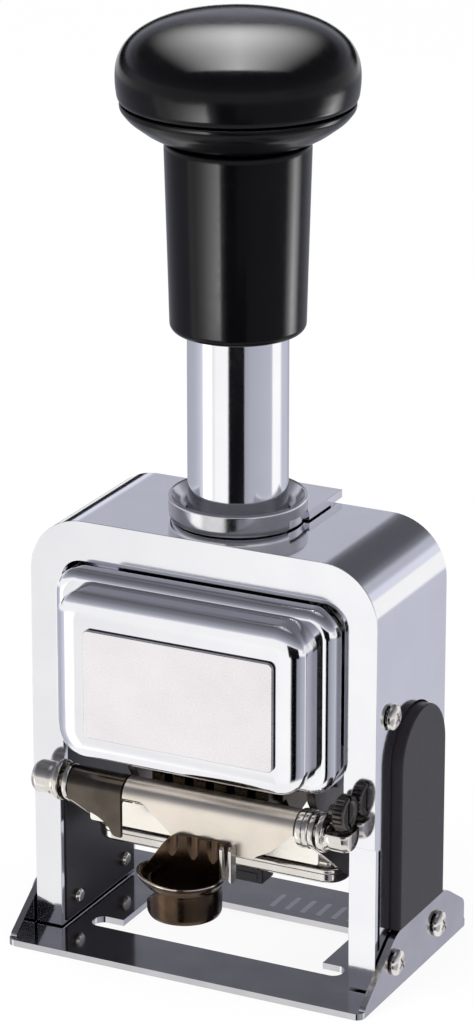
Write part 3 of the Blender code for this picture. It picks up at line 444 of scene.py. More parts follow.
def crowned(corners, start, end, reach, share):
    # an outline whose front edges are rounded over reach, with the round pressed flatter by share
    shape = slab(corners, "XZ", start, end, reach, 10, 0)
    for vert in shape.verts:
        deep = vert.co.y - start
        if deep < reach + 0.001:
            vert.co.y = start + deep * share
    return shape


def roundBox(left, right, bottom, top, radius):
    return [(left, bottom, radius), (right, bottom, radius), (right, top, radius), (left, top, radius)]


def block(low, high, edge=0.0, segments=2):
    shape = bmesh.new()
    bmesh.ops.create_cube(shape, size=1)
    low, high = Vector(low), Vector(high)
    bmesh.ops.scale(shape, vec=high - low, verts=shape.verts)
    bmesh.ops.translate(shape, vec=(low + high) / 2, verts=shape.verts)
    if edge > 0:
        bmesh.ops.bevel(shape, geom=shape.edges[:], offset=edge, offset_type="OFFSET", affect="EDGES",
                        segments=segments, profile=0.5, material=-1)
    return shape


def sideBlock(side, inner, outer, near, far, foot, top, edge=0.0):
    # a block between two distances from the middle, on the left (-1) or the right (1)
    left, right = sorted((side * inner, side * outer))
    return block((left, near, foot), (right, far, top), edge)


def roundLine(corners, steps=6, closed=False):
    # a line through corners, each rounded by its third number
    line = []
    for i, corner in enumerate(corners):
        here = Vector(corner[:2])
        atEnd = not closed and i in (0, len(corners) - 1)
        if len(corner) < 3 or atEnd:
            line.append(here)
            continue
        back = Vector(corners[i - 1][:2]) - here
        ahead = Vector(corners[(i + 1) % len(corners)][:2]) - here
        reach = min(corner[2], back.length * 0.49, ahead.length * 0.49)
        start, stop = here + back.normalized() * reach, here + ahead.normalized() * reach
        for step in range(steps + 1):
            t = step / steps
            line.append(start * (1 - t) ** 2 + here * 2 * t * (1 - t) + stop * t * t)
    return line


def lathe(corners, steps=96, closed=False, roundSteps=6):
    # a line of radius and height, turned about the vertical axis
    shape = bmesh.new()
    verts = [shape.verts.new((r, 0, z)) for r, z in roundLine(corners, roundSteps, closed)]
    lines = [shape.edges.new(pair) for pair in zip(verts, verts[1:])]
    if closed:
        lines.append(shape.edges.new((verts[-1], verts[0])))
    bmesh.ops.spin(shape, geom=verts + lines, cent=(0, 0, 0), axis=(0, 0, 1), angle=tau, steps=steps,
                   use_merge=True)
    bmesh.ops.remove_doubles(shape, verts=shape.verts, dist=0.0005)
    bmesh.ops.recalc_face_normals(shape, faces=shape.faces)
    return shape


def ring(inner, outer, low, high, steps=96):
    return lathe([(inner, low), (outer, low), (outer, high), (inner, high)], steps, closed=True)


def plainRod(radius, low, high, steps=32):
    return lathe([(0, low), (radius, low), (radius, high), (0, high)], steps)


def laidAlong(shape, side, place):
    # turns a lathed shape's top toward +X or -X and sets its foot at a place
    turn = Matrix.Rotation(side * pi / 2, 4, "Y")
    bmesh.ops.transform(shape, matrix=Matrix.Translation(place) @ turn, verts=shape.verts)
    return shape


def together(first, *others):
    for other in others:
        mesh = meshFrom("joined", other)
        first.from_mesh(mesh)
        bpy.data.meshes.remove(mesh)
    return first


def tempObject(shape, name="rough"):
    return addObject(name, meshFrom(name, shape))


def settled(made):
    # the mesh of an object with its modifiers applied, as a bmesh
    bpy.context.view_layer.update()
    reading = made.evaluated_get(bpy.context.evaluated_depsgraph_get())
    mesh = bpy.data.meshes.new_from_object(reading)
    shape = bmesh.new()
    shape.from_mesh(mesh)
    bpy.data.meshes.remove(mesh)
    bpy.data.objects.remove(made, do_unlink=True)
    return shape


def carved(shape, *tools, operation="DIFFERENCE"):
    made = tempObject(shape)
    held = [tempObject(tool, "tool") for tool in tools]
    for tool in held:
        step = made.modifiers.new("carve", "BOOLEAN")
        step.operation, step.solver, step.object = operation, "EXACT", tool
    result = settled(made)
    for tool in held:
        bpy.data.objects.remove(tool, do_unlink=True)
    bmesh.ops.remove_doubles(result, verts=result.verts, dist=0.001)
    return result


def softened(shape, width, segments=3, angle=35):
    # bevels every edge sharper than the angle
    made = tempObject(shape)
    step = made.modifiers.new("soften", "BEVEL")
    step.width, step.segments, step.limit_method = width, segments, "ANGLE"
    step.angle_limit = radians(angle)
    step.use_clamp_overlap = True
    step.miter_outer = "MITER_ARC"
    return settled(made)


def newPiece(name, shape, body, look, slot, *nodes, sharp=32, facesOut=True):
    if facesOut:
        bmesh.ops.recalc_face_normals(shape, faces=shape.faces)
    bmesh.ops.scale(shape, vec=(mm, mm, mm), verts=shape.verts)
    bmesh.ops.translate(shape, vec=axisPlace, verts=shape.verts)
    mesh = meshFrom(name, shape)
    mesh.shade_smooth()
    mesh.set_sharp_from_angle(angle=radians(sharp))
    mesh.materials.append(look)
    piece = addObject(name, mesh)
    even = piece.modifiers.new("evenShade", "WEIGHTED_NORMAL")      # keeps flat faces flat up to their rims
    even.keep_sharp = True
    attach(piece, body)
    if nodes:
        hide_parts(*nodes)
    return piece


def nodeShape(node):
    # a CAD node's mesh as clean flat faces, in millimetres about the axis
    shape = bmesh.new()
    shape.from_mesh(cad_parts[node].data)
    bmesh.ops.translate(shape, vec=-axisPlace, verts=shape.verts)
    bmesh.ops.scale(shape, vec=(1 / mm,) * 3, verts=shape.verts)
    bmesh.ops.remove_doubles(shape, verts=shape.verts, dist=0.002)
    bmesh.ops.dissolve_limit(shape, angle_limit=radians(1.0), verts=shape.verts, edges=shape.edges)
    return shape


def refined(node, body, look, slot, width=0.2, segments=2):
    # a CAD node's own shape with its edges broken
    shape = softened(nodeShape(node), width, segments)
    return newPiece(node + "_dressed", shape, body, look, slot, node)


# the cap is a superellipse above crownStart, and the body narrows to the grip through its waist
knob = {
    "crownPower": 2.5, "crownStart": 159.0, "crownSteps": 44,
    "waist": [(19.0, 152.3, 1.5), (15.6, 149.75, 1.8)],
}


def makeKnob():
    low, high = span("knob_cap")
    wide, foot, top = high.x, low.z, high.z
    start, power, steps = knob["crownStart"], knob["crownPower"], knob["crownSteps"]
    corners = [(0, foot), (wide - 1.5, foot), (wide - 0.75, foot + 0.05, 0.3), (wide - 0.3, foot + 0.8, 0.7),
               (wide - 0.05, foot + 2.6, 1.2)]
    for i in range(steps + 1):
        turn = pi / 2 * i / steps
        rise, reach = sin(turn) ** (2 / power), cos(turn) ** (2 / power) if i < steps else 0
        corners.append((wide * reach, start + (top - start) * rise))
    newPiece("knobCap", lathe(corners, 128), "plunger", glossLook, "gloss_black", "knob_cap", sharp=50)
    low, high = span("knob_body")
    wide, foot, top = high.x, low.z, high.z
    corners = [(0, top), (wide - 0.8, top), (wide - 0.15, top, 0.3), (wide - 0.2, top - 0.9, 0.6),
               *knob["waist"], (13.0, foot + 0.25, 0.6), (12.5, foot, 0.2), (0, foot)]
    newPiece("knobBody", lathe(corners, 128, roundSteps=8), "plunger", glossLook, "gloss_black",
             "knob_body", sharp=50)


grip = {"bore": 9.2, "hang": 0.5, "lip": (7.75, 1.7)}      # the lip inside its top: bore and height


def makeGrip():
    low, high = span("grip_sleeve")
    foot, top = low.z - grip["hang"], high.z
    bore = grip["bore"]
    lipBore, lipHigh = grip["lip"]
    corners = [(bore, foot + 0.4, 0.3), (10.2, foot, 0.4), (11.2, foot + 0.1, 0.5), (11.85, foot + 0.9, 0.8),
               (12.05, foot + 9, 3), (12.7, top - 0.9, 0.6), (12.6, top - 0.2, 0.2), (12.3, top, 0.2),
               (lipBore, top, 0.2), (lipBore, top - lipHigh, 0.2), (bore, top - lipHigh, 0.2)]
    newPiece("gripSleeve", lathe(corners, 112, closed=True), "plunger", glossLook, "gloss_black",
             "grip_sleeve", sharp=40)


tube = {"bore": 7.4, "keyway": (-2.6, 2.6, 79.8, 105.2, 0.8), "keyDeep": 1.0}


def makeTube():
    low, high = span("plunger_tube")
    bore, outer = tube["bore"], high.x
    corners = [(bore, low.z, 0.2), (outer, low.z, 0.3), (outer, high.z, 0.3), (bore, high.z, 0.2)]
    way = slab(roundBox(*tube["keyway"]), "XZ", outer - tube["keyDeep"], outer + 4)
    newPiece("plungerTube", carved(lathe(corners, 128, closed=True), way), "plunger", chromeLook, "chrome",
             "plunger_tube", sharp=30)
    low, high = span("tube_plug")
    corners = [(0, high.z), (2.2, high.z, 0.3), (2.4, high.z - 0.8, 0.3), (high.x - 0.5, high.z - 0.8, 0.3),
               (high.x, high.z - 1.2, 0.3), (high.x, low.z + 0.4, 0.3), (high.x - 0.5, low.z, 0.2),
               (0, low.z)]
    newPiece("tubePlug", lathe(corners, 64), "plunger", nickelLook, "nickel", "tube_plug")


collar = {
    "neck": 10.2, "bore": 9.2, "sink": 0.2, "trim": 0.4, "slotHigh": 1.95, "slotFront": -3.4,
    "way": (2.6, 4.4, 1.8),      # for the lock: half its width, where it starts and its height
}


def makeCollar():
    low, high = span("collar")
    wide, foot, top = high.x, low.z - collar["sink"], high.z - collar["trim"]
    bore = collar["bore"]
    corners = [(bore, foot, 0.1), (wide - 0.6, foot, 0.4), (wide - 0.15, foot + 0.8, 0.8),
               (wide, top - 0.35, 0.3), (wide - 0.2, top, 0.2), (wide - 0.55, top - 0.05, 0.25),
               (bore + 1.1, top - 2.3, 1.4), (bore + 0.2, top - 2.9, 0.4), (bore, top - 2.95, 0.1)]
    shape = lathe(corners, 128, closed=True)
    half, start, rise = collar["way"]
    way = block((-half, start, foot - 4), (half, wide + 4, low.z + rise))
    front = block((-20, -20, foot - past), (20, collar["slotFront"], top + past))
    slideWay = carved(ring(collar["neck"], 15, foot - 2, foot + collar["slotHigh"]), front)
    newPiece("guideCollar", carved(shape, way, slideWay), "base", wornChrome, "chrome", "collar",
             sharp=40)


lock = {"round": 11.7, "tipEnd": 3.2}


def makeLock():
    # the fork's tips are trimmed to the collar's round
    trim = carved(block((-20, -8, 79), (20, lock["tipEnd"], 83)), plainRod(lock["round"], 70, 90, 96))
    shape = softened(carved(nodeShape("lock_slide"), trim), 0.25, 3)
    newPiece("lockSlide", shape, "lock", chromeLook, "chrome", "lock_slide")


def fallOff(lamp, across, along, fastAcross, fastAlong):
    # the light is brightest at one point of the lamp and fades from it both ways
    lamp.data.use_nodes = True
    tree = lamp.data.node_tree
    tree.nodes.clear()
    apart = tree.nodes.new("ShaderNodeSeparateXYZ")
    tree.links.new(tree.nodes.new("ShaderNodeNewGeometry").outputs["Parametric"], apart.inputs[0])
    shares = []
    for axis, place, fast in (("X", across, fastAcross), ("Y", along, fastAlong)):
        away = addMath(tree, "ABSOLUTE", addMath(tree, "SUBTRACT", apart.outputs[axis], place))
        left = addMath(tree, "SUBTRACT", 1.0, addMath(tree, "MULTIPLY", away, fast))
        shares.append(addMath(tree, "POWER", addMath(tree, "MAXIMUM", left, 0.0), studio["fallPower"]))
    glow = tree.nodes.new("ShaderNodeEmission")
    tree.links.new(addMath(tree, "MULTIPLY", *shares), glow.inputs["Strength"])
    out = tree.nodes.new("ShaderNodeOutputLight")
    tree.links.new(glow.outputs[0], out.inputs["Surface"])


def lightHandle():
    # polished black only shows what it mirrors, so the handle has lights of its own
    blacks = bpy.data.collections.new("blackHandle")
    for name in ("knobCap", "knobBody", "gripSleeve"):
        blacks.objects.link(bpy.data.objects[name])
    for number, values in enumerate((*studio["strips"], studio["box"])):
        bearing, away, height, wide, deep, power, *fading = values
        toward = Vector((cos(radians(bearing)), sin(radians(bearing)), 0))
        place = axisPlace + toward * away + Vector((0, 0, height))
        lamp = makeLamp("handleLamp%d" % number, place, wide, power, deep)
        if number < len(studio["strips"]):
            lamp.rotation_euler = (-toward).to_track_quat("-Z", "Y").to_euler()
        else:
            lamp.rotation_euler = (0, 0, radians(bearing - 90))
        fallOff(lamp, *fading)
        lamp.visible_camera = lamp.visible_diffuse = False
        lamp.light_linking.receiver_collection = blacks


def makeCard():
    bearing, away, wide, low, high = studio["card"]
    shape = bmesh.new()
    bmesh.ops.create_grid(shape, x_segments=1, y_segments=1, size=0.5)
    bmesh.ops.scale(shape, vec=(wide, high - low, 1), verts=shape.verts)
    card = addObject("darkCard", meshFrom("darkCard", shape))
    toward = Vector((cos(radians(bearing)), sin(radians(bearing)), 0))
    card.location = axisPlace + toward * away + Vector((0, 0, (low + high) / 2))
    card.rotation_euler = (-toward).to_track_quat("Z", "Y").to_euler()
    made = bareMaterial("darkCard")
    tree = made.node_tree
    glow = addNode(tree, "ShaderNodeEmission", Color=studio["cardColor"], Strength=1.0)
    out = tree.nodes.new("ShaderNodeOutputMaterial")
    tree.links.new(glow.outputs[0], out.inputs["Surface"])
    card.data.materials.append(made)
    card.visible_camera = card.visible_diffuse = card.visible_shadow = False


makeKnob()
makeGrip()
lightHandle()
makeCard()
makeTube()
makeCollar()
makeLock()
print("plunger ready")


frameLook = {
    "outerRound": 10.5, "innerRound": 4.0, "throatRound": 4.0, "edge": 0.45, "bridge": 5.1, "legInner": 28.5,
    "lipThick": 1.5, "lipWide": 6.2, "lipHigh": 7.4, "lipEnd": 28.6, "toe": 0.4, "bore": 9.2,
    "slot": (9.5, 10.9, 50.7),      # half its width, foot and top
    "heel": (-7.4, 6.9, 2.2), "slit": (1.3, 2.2, 1.2),      # near, far, then foot or depth
    "holes": [(1.6, -9, 5.7), (1.6, 9, 5.7), (1.8, -8.6, 51.6)],      # radius, across and height
}


def slotOutline(half, bottom, top, middle=1.2):
    return [(middle - half, bottom), (middle + half, bottom), (middle + half, top, half * 0.999),
            (middle - half, top, half * 0.999)]


def makeFrame():
    low, high = span("outer_frame")
    half, foot, top, front, rear = high.x, low.z, high.z, low.y, high.y
    lip = half - frameLook["lipWide"]
    inner = frameLook["innerRound"]
    arch = [(-half, foot), (-lip, foot), (-lip, top - frameLook["lipHigh"], inner),
            (lip, top - frameLook["lipHigh"], inner), (lip, foot), (half, foot),
            (half, top, frameLook["outerRound"]), (-half, top, frameLook["outerRound"])]
    shape = slab(arch, "XZ", front, rear)
    leg, bridge, thick = frameLook["legInner"], top - frameLook["bridge"], frameLook["lipThick"]
    throat = slab([(-leg, foot - past), (leg, foot - past), (leg, bridge, frameLook["throatRound"]),
                   (-leg, bridge, frameLook["throatRound"])], "XZ", front + thick, rear + past)
    lipEnd = block((-leg, front - past, foot - past), (leg, front + 2 * thick, frameLook["lipEnd"]))
    tools = [throat, lipEnd]
    for side in (-1, 1):
        tools.append(sideBlock(side, leg - past, half + past, front - past, front + frameLook["toe"],
                               foot - past, frameLook["lipEnd"]))
    tools.append(slab(slotOutline(*frameLook["slot"]), "YZ", -half - past, half + past))
    near, far, low = frameLook["heel"]
    tools.append(block((-half - past, near, low), (half + past, far, 14)))
    tools.append(plainRod(frameLook["bore"], bridge - past, top + past, 96))
    for radius, across, height in frameLook["holes"]:
        tools.append(laidAlong(plainRod(radius, 0, 2 * half + 2 * past), 1, (-half - past, across, height)))
    shape = carved(shape, *tools)
    shape = softened(shape, frameLook["edge"], 3, 40)
    near, far, deep = frameLook["slit"]
    slits = [sideBlock(side, half - deep, half + 2, front + near, front + far, 9, frameLook["lipEnd"] - 0.5)
             for side in (-1, 1)]
    shape = carved(shape, *slits)
    newPiece("outerFrame", shape, "base", chromeLook, "chrome", "outer_frame", sharp=30)


base = {
    "sheet": 1.2, "window": (20.0, 10.2), "corner": 2.5, "ear": (25.0, 3.8, 1.8),
    "flangeTop": (-7.95, 12.71), "hole": (1.6, 9, 5.7),      # radius, across and height
    "ticks": [0.8 + 3.1 * i for i in range(6)], "tick": (1.0, 11.0, 16.5),      # width, near and far
}


def makeBase():
    high = span("base_plate")[1]
    half, deep, sheet = high.x, high.y, base["sheet"]
    plate = slab(roundBox(-half, half, -deep, deep, 1.5), "XY", 0, sheet)
    wide, back = base["window"]
    reach, earDeep, earRound = base["ear"]
    window = slab(roundBox(-wide, wide, -back, back - 1.3, base["corner"]), "XY", -3, 4)
    ears = slab(roundBox(-reach, reach, -back - 0.4, earDeep - back, earRound), "XY", -3, 4)
    plate = carved(plate, window, ears)
    near, far = base["flangeTop"]
    side = [(-deep + 1.5, 0.1), (deep - 1.5, 0.1), (deep - 1.5, 5.4, 1.0), (far, high.z, 2.2),
            (near, high.z, 2.2), (-deep + 1.5, 1.6, 0.6)]
    flanges = [slab(side, "YZ", left, left + sheet) for left in (-half, half - sheet)]
    plate = carved(plate, *flanges, operation="UNION")
    radius, away, height = base["hole"]
    holes = [laidAlong(plainRod(radius, 0, 2 * half + 2 * past), 1, (-half - past, across, height))
             for across in (-away, away)]
    plate = softened(carved(plate, *holes), 0.3, 3, 40)
    newPiece("basePlate", plate, "base", darkChrome, "chrome", "base_plate", sharp=30)
    wide, near, far = base["tick"]
    ticks = [block((across, near, sheet - 0.05), (across + wide, far, sheet + 0.05))
             for across in base["ticks"]]
    newPiece("baseTicks", together(*ticks), "base", chromeLook, "chrome")


cover = {
    "rimCorner": 5.0, "boxCorner": 5.4, "wall": 1.0, "draft": 0.3, "step": 5.8, "overlap": 1.5,
    "inset": (3.0, 1.0, 1.5),      # from the rim to the box, at the sides, below and above
    "rimCrown": (2.2, 0.75), "boxCrown": (4.5, 0.42), "labelLine": 0.16,
}


def makeCover():
    low, high = span("front_cover")
    half, bottom, top, front, rear = high.x, low.z, high.z, low.y, high.y
    rimFront = front + cover["step"]
    boxRear = rimFront + cover["overlap"]
    rim = crowned(roundBox(-half, half, bottom, top, cover["rimCorner"]), rimFront, rear, *cover["rimCrown"])
    sideways, below, above = cover["inset"]
    boxHalf, boxLow, boxTop = half - sideways, bottom + below, top - above
    box = crowned(roundBox(-boxHalf, boxHalf, boxLow, boxTop, cover["boxCorner"]), front, boxRear,
                  *cover["boxCrown"])
    draft = cover["draft"]
    for vert in box.verts:
        share = draft * (boxRear - vert.co.y) / (boxRear - front)
        vert.co.x -= share * vert.co.x / boxHalf
        vert.co.z -= share * (vert.co.z - (boxLow + boxTop) / 2) / ((boxTop - boxLow) / 2)
    shell = carved(rim, box, operation="UNION")
    wall = cover["wall"]
    cavity = slab(roundBox(wall + 0.6 - boxHalf, boxHalf - wall - 0.6, boxLow + wall + 0.6,
                           boxTop - wall - 0.6, cover["boxCorner"] - wall),
                  "XZ", front + 2.2, rear + past, 0.8, 3, 0)
    newPiece("frontCover", carved(shell, cavity), "base", chromeLook, "chrome", "front_cover", sharp=40)
    low, high = span("label_plate")
    line = cover["labelLine"]
    face = slab(roundBox(low.x + line, high.x - line, low.z + line, high.z - line, 0.9), "XZ", low.y, high.y,
                0.10, 2, 0)
    newPiece("labelPlate", face, "base", satinLook, "satin", "label_plate")
    edge = slab(roundBox(low.x, high.x, low.z, high.z, 1.1), "XZ", (low.y + high.y) / 2, high.y, 0.05, 1, 0)
    newPiece("labelLine", edge, "base", steelLook, "satin")


insert = {
    "slope": (0.5, 1.8), "inner": 28.8, "outer": 33.4, "heel": (-7.1, 6.6, 2.5), "rib": (-2.6, -1.2),
    "liner": (28.5, 28.2, -12.6, 13.3, 1.9, 48.0),      # both faces, near, far, foot and top
}


def makeInserts():
    for side, label in ((-1, "left"), (1, "right")):
        low, high = span("side_insert_" + label)
        small, large = insert["slope"]
        edges = (small, large) if side > 0 else (large, small)
        shape = slab(slotOutline(9.2, low.z, high.z), "YZ", low.x, high.x, edges[0], 5, edges[1])
        near, far, foot = insert["heel"]
        left, right = sorted((side * insert["inner"], side * 31.0))
        inner = slab(slotOutline(9.0, low.z + 0.2, high.z - 0.2), "YZ", left, right, 0.3, 2)
        heel = sideBlock(side, insert["inner"], insert["outer"], near, far, foot, 14, 0.2)
        ribs = sideBlock(side, 28.5, 29.4, *insert["rib"], 3.2, 46)
        liner = sideBlock(side, *insert["liner"], 0.1)
        newPiece("legLiner_" + label, liner, "base", plasticBlack, "black_plastic")
        newPiece("sideInsert_" + label, together(shape, carved(together(inner), ribs), heel), "base",
                 plasticBlack, "black_plastic", "side_insert_" + label)


screw = {
    "dome": 1.3, "cross": 0.42, "crossReach": 1.25, "crossDeep": 0.75, "crossTurn": 28,
    "low": (35.5, 27.1, 1.3), "high": (34.0, 28.8, 1.5),      # under the head, tip and shank
}


def makeScrew(name, node, side, place, reach, shank):
    low, high = span(node)
    radius = (high.z - low.z) / 2
    height = screw["dome"]
    corners = [(0, height), (radius * 0.55, height - 0.08, 0.8), (radius * 0.93, height - 0.62, 0.6),
               (radius, 0.12, 0.3), (radius - 0.15, 0, 0.1), (shank, 0, 0.1), (shank, -reach + 0.4, 0.3),
               (shank - 0.35, -reach, 0.2), (0, -reach)]
    shape = lathe(corners, 56)
    tools = []
    for turn in (0, pi / 2):
        arm = block((-screw["crossReach"], -screw["cross"] / 2, height - screw["crossDeep"]),
                    (screw["crossReach"], screw["cross"] / 2, height + 1))
        spin = Matrix.Rotation(turn + radians(screw["crossTurn"]), 4, "Z")
        bmesh.ops.transform(arm, matrix=spin, verts=arm.verts)
        tools.append(arm)
    shape = softened(carved(shape, *tools), 0.06, 2, 45)
    laidAlong(shape, side, place)
    newPiece(name, shape, "base", nickelLook, "nickel", node, sharp=40)


def makeScrews():
    number = 0
    face, tip, shank = screw["low"]
    for side in (-1, 1):
        for across in (-9, 9):
            number += 1
            makeScrew("baseScrew_%d" % number, "base_screw_%d" % number, side, (face * side, across, 5.7),
                      face - tip, shank)
    face, tip, shank = screw["high"]
    for side, label in ((-1, "left"), (1, "right")):
        makeScrew("sideScrew_" + label, "side_screw_" + label, side, (face * side, -8.6, 51.6),
                  face - tip, shank)


makeFrame()
makeBase()
makeCover()
makeInserts()
makeScrews()
print("frame and base ready")


hinge = {"y": -17.7, "z": 32.1, "flutes": 24, "fluteHalf": 0.16, "slot": (0.3, 0.9)}


def makeHinge():
    low, high = span("pad_pivot_rod")
    rod = lathe([(0, 0), (1.2, 0, 0.2), (1.5, 0.3, 0.2), (1.5, high.x - low.x - 0.3, 0.2),
                 (1.2, high.x - low.x, 0.2), (0, high.x - low.x)], 48)
    newPiece("pivotRod", laidAlong(rod, 1, (low.x, hinge["y"], hinge["z"])), "base", nickelLook, "nickel",
             "pad_pivot_rod")
    low, high = span("pad_bracket_left")
    long = high.x - low.x
    stud = lathe([(0, long - 0.9), (1.8, long - 0.9), (1.8, 0, 0.1), (3.7, 0, 0.3), (3.7, 1.0, 0.3),
                  (3.0, 1.15, 0.15), (2.85, 1.9, 0.4), (3.0, 2.4, 0.3), (3.0, long - 0.9, 0.5),
                  (2.4, long - 0.1, 0.4), (1.2, long, 0.2), (1.0, long - 0.5, 0.1), (0, long - 0.5)], 72)
    newPiece("bracketLeft", laidAlong(stud, -1, (high.x, hinge["y"], hinge["z"])), "base", nickelLook,
             "nickel", "pad_bracket_left")
    low, high = span("pad_bracket_right")
    stud = lathe([(0, long - 0.9), (1.8, long - 0.9), (1.8, 0, 0.1), (3.6, 0, 0.3), (3.7, 0.5, 0.2),
                  (3.6, 1.1, 0.3), (3.05, 1.25, 0.1), (2.9, 1.8, 0.3), (3.05, 2.3, 0.3),
                  (3.05, long - 1.2, 0.5),
                  (2.5, long - 0.1, 0.4), (1.2, long, 0.2), (0, long)], 72)
    laidAlong(stud, 1, (low.x, hinge["y"], hinge["z"]))
    room = block((low.x + 1.3, -30, 33.0), (high.x + 3, -5, 45))
    newPiece("bracketRight", softened(carved(stud, room), 0.15, 2, 50), "base", nickelLook, "nickel",
             "pad_bracket_right", sharp=40)
    low, high = span("pad_thumbscrew")
    place = (low.x, (low.y + high.y) / 2, (low.z + high.z) / 2)
    long = high.x - low.x
    radius = (high.z - low.z) / 2
    head = lathe([(0, long - 0.35), (1.9, long - 0.35, 0.2), (2.3, long, 0.3), (radius - 0.35, long, 0.3),
                  (radius, long - 0.45, 0.2), (radius, 2.05, 0.2), (radius - 0.4, 1.6, 0.2), (1.1, 1.6, 0.1),
                  (1.1, 0.2, 0.1), (0.9, 0), (0, 0)], 72)
    flutes = []
    half = hinge["fluteHalf"]
    for i in range(hinge["flutes"]):
        turn = Matrix.Rotation(tau * i / hinge["flutes"], 4, "Z")
        notch = block((-half, -half, 1.2), (half, half, long + 1))
        where = turn @ Matrix.Translation((radius, 0, 0)) @ Matrix.Rotation(pi / 4, 4, "Z")
        bmesh.ops.transform(notch, matrix=where, verts=notch.verts)
        flutes.append(notch)
    half, deep = hinge["slot"]
    slot = block((-radius, -half, long - deep), (radius, half, long + 1))
    shape = carved(head, together(*flutes), slot)
    newPiece("thumbScrew", laidAlong(shape, 1, place), "thumbscrew", darkSteel, "steel", "pad_thumbscrew",
             sharp=35)


holder = {
    "knuckle": 3.15, "bore": 1.85, "arm": (23.6, 24.6), "earRadius": 3.3, "ear": (62, 234),
    "front": -9.6, "rear": 5.8, "floor": 17.9, "sheet": 0.9, "panTop": 21.0, "corner": 4.0,
    "split": (-12.75, -12.45, 21.0), "apronFoot": 25.4,      # the wing's end, then the apron's two ends
    "wing": [(-23.4, 38), (-23.4, 30.2), (-21.9, 29.8, 0.8), (-19.4, 28.6), (-16.4, 27.5, 1.5),
             (-15.0, 26.0, 1.0), (-14.4, 24.7, 0.6), (-10.0, 24.3), (-10.0, 38)],
    "leftNotch": [(-14, 20), (-14, 32.2), (-8.5, 32.2, 0.8), (-2.2, 26.6), (-1.4, 25.0), (-1.4, 20)],
    "rightNotch": [(23, 20), (23, 31.4), (20.6, 31.4), (16.6, 27.6), (13.8, 26.2), (12.2, 24), (12.2, 20)],
    "liner": (-22.6, 22.6, 23.5, 30.6, 0.6), "linerDeep": (-13.9, -13.4),
}


def arcPoints(center, radius, start, end, steps=14):
    turns = [radians(start + (end - start) * i / steps) for i in range(steps + 1)]
    return [(center[0] + radius * cos(turn), center[1] + radius * sin(turn)) for turn in turns]


def tubeAlong(start, end, outer, inner, place, steps=64, edge=0.2):
    # a sleeve along X
    long = end - start
    sleeve = lathe([(inner, 0, edge / 2), (outer, 0, edge), (outer, long, edge), (inner, long, edge / 2)],
                   steps, closed=True, roundSteps=3)
    return laidAlong(sleeve, 1, (start, *place))


def panOutline(inset):
    far = holder["arm"][1]
    front, rear, corner = holder["front"], holder["rear"], holder["corner"]
    return [(inset - far, front + inset, corner - inset), (far - inset, front + inset, corner - inset),
            (far - inset, rear - inset, 1.2), (inset - far, rear - inset, 1.2)]


def makeHolder():
    axis = (hinge["y"], hinge["z"])
    front, rear, floor, sheet = (holder[key] for key in ("front", "rear", "floor", "sheet"))
    near, far = holder["arm"]
    armLine = ([(-6.6, floor + 1.6, 1.2), (-4.4, floor + 0.1, 1.0), (rear - 1.5, floor + 0.1, 0.8),
                (rear - 1.5, floor + 3.2, 0.8)] + arcPoints(axis, holder["earRadius"], *holder["ear"]))
    outer, bore = holder["knuckle"], holder["bore"]
    shapes = []
    for side in (-1, 1):
        arm = slab(armLine, "YZ", *sorted((side * near, side * far)), 0.22, 3)
        shapes.append(carved(arm, laidAlong(plainRod(bore, 0, 60, 40), 1, (-30, *axis))))
    pan = slab(panOutline(0.15), "XY", floor, holder["panTop"] - 0.6, 0.8, 4, 0)
    well = slab(panOutline(0.15 + sheet), "XY", floor + sheet, holder["panTop"] + 4)
    bead = slab(panOutline(0), "XY", holder["panTop"] - 1.5, holder["panTop"], 0.62, 5)
    hollow = slab(panOutline(1.4), "XY", floor - 4, holder["panTop"] + 4)
    shapes += [carved(pan, well), carved(bead, hollow)]
    newPiece("padCarrier", together(*shapes), "pad", nickelLook, "nickel", "pad_carrier")
    split = holder["split"]
    sleeve = tubeAlong(split[2] + 0.25, near, outer + 0.35, bore, axis, edge=0.5)
    groove = laidAlong(ring(outer + 0.05, 6, 0, 0.35), 1, (split[2] + 1.4, *axis))
    newPiece("holderBush", carved(sleeve, groove), "pad", nickelLook, "nickel")
    foot = holder["apronFoot"]
    line = (arcPoints(axis, outer, -60, 180, 30)
            + [(axis[0] - outer, foot, 0.3), (axis[0] - outer + sheet, foot, 0.3),
               (axis[0] - outer + sheet, axis[1] - 1.4)]
            + arcPoints(axis, bore, 205, -60, 26))
    apron = slab(line, "YZ", split[1], split[2], 0.15, 2)
    notches = [slab(holder[key], "XZ", axis[0] - outer - 2, axis[0] - outer + sheet + 1.2)
               for key in ("leftNotch", "rightNotch")]
    newPiece("holderApron", softened(carved(apron, *notches), 0.12, 2, 50), "pad", champagne, "nickel")
    wingLine = [(y, z - 1.2 if z < axis[1] - 5 else z, *more) for y, z, *more in line]
    wing = slab(wingLine, "YZ", -near, split[0], 0.15, 2)
    keep = slab(holder["wing"], "XZ", axis[0] - 8, axis[0] + 6)
    newPiece("holderWing", softened(carved(wing, keep, operation="INTERSECT"), 0.18, 2, 50), "pad", taupeLook,
             "nickel")
    liner = slab(roundBox(*holder["liner"]), "XZ", *holder["linerDeep"], 0.12, 2)
    newPiece("padLiner", liner, "pad", creamLook, "nickel")
    latch = together(block((3.4, -9.2, 15.3), (9.4, -4.6, floor + 0.4), 0.3),
                     block((4.4, -9.35, 15.9), (8.4, -9.0, 17.3), 0.1))
    newPiece("padLatch", latch, "pad", plasticBlack, "black_plastic")
    makeTray()


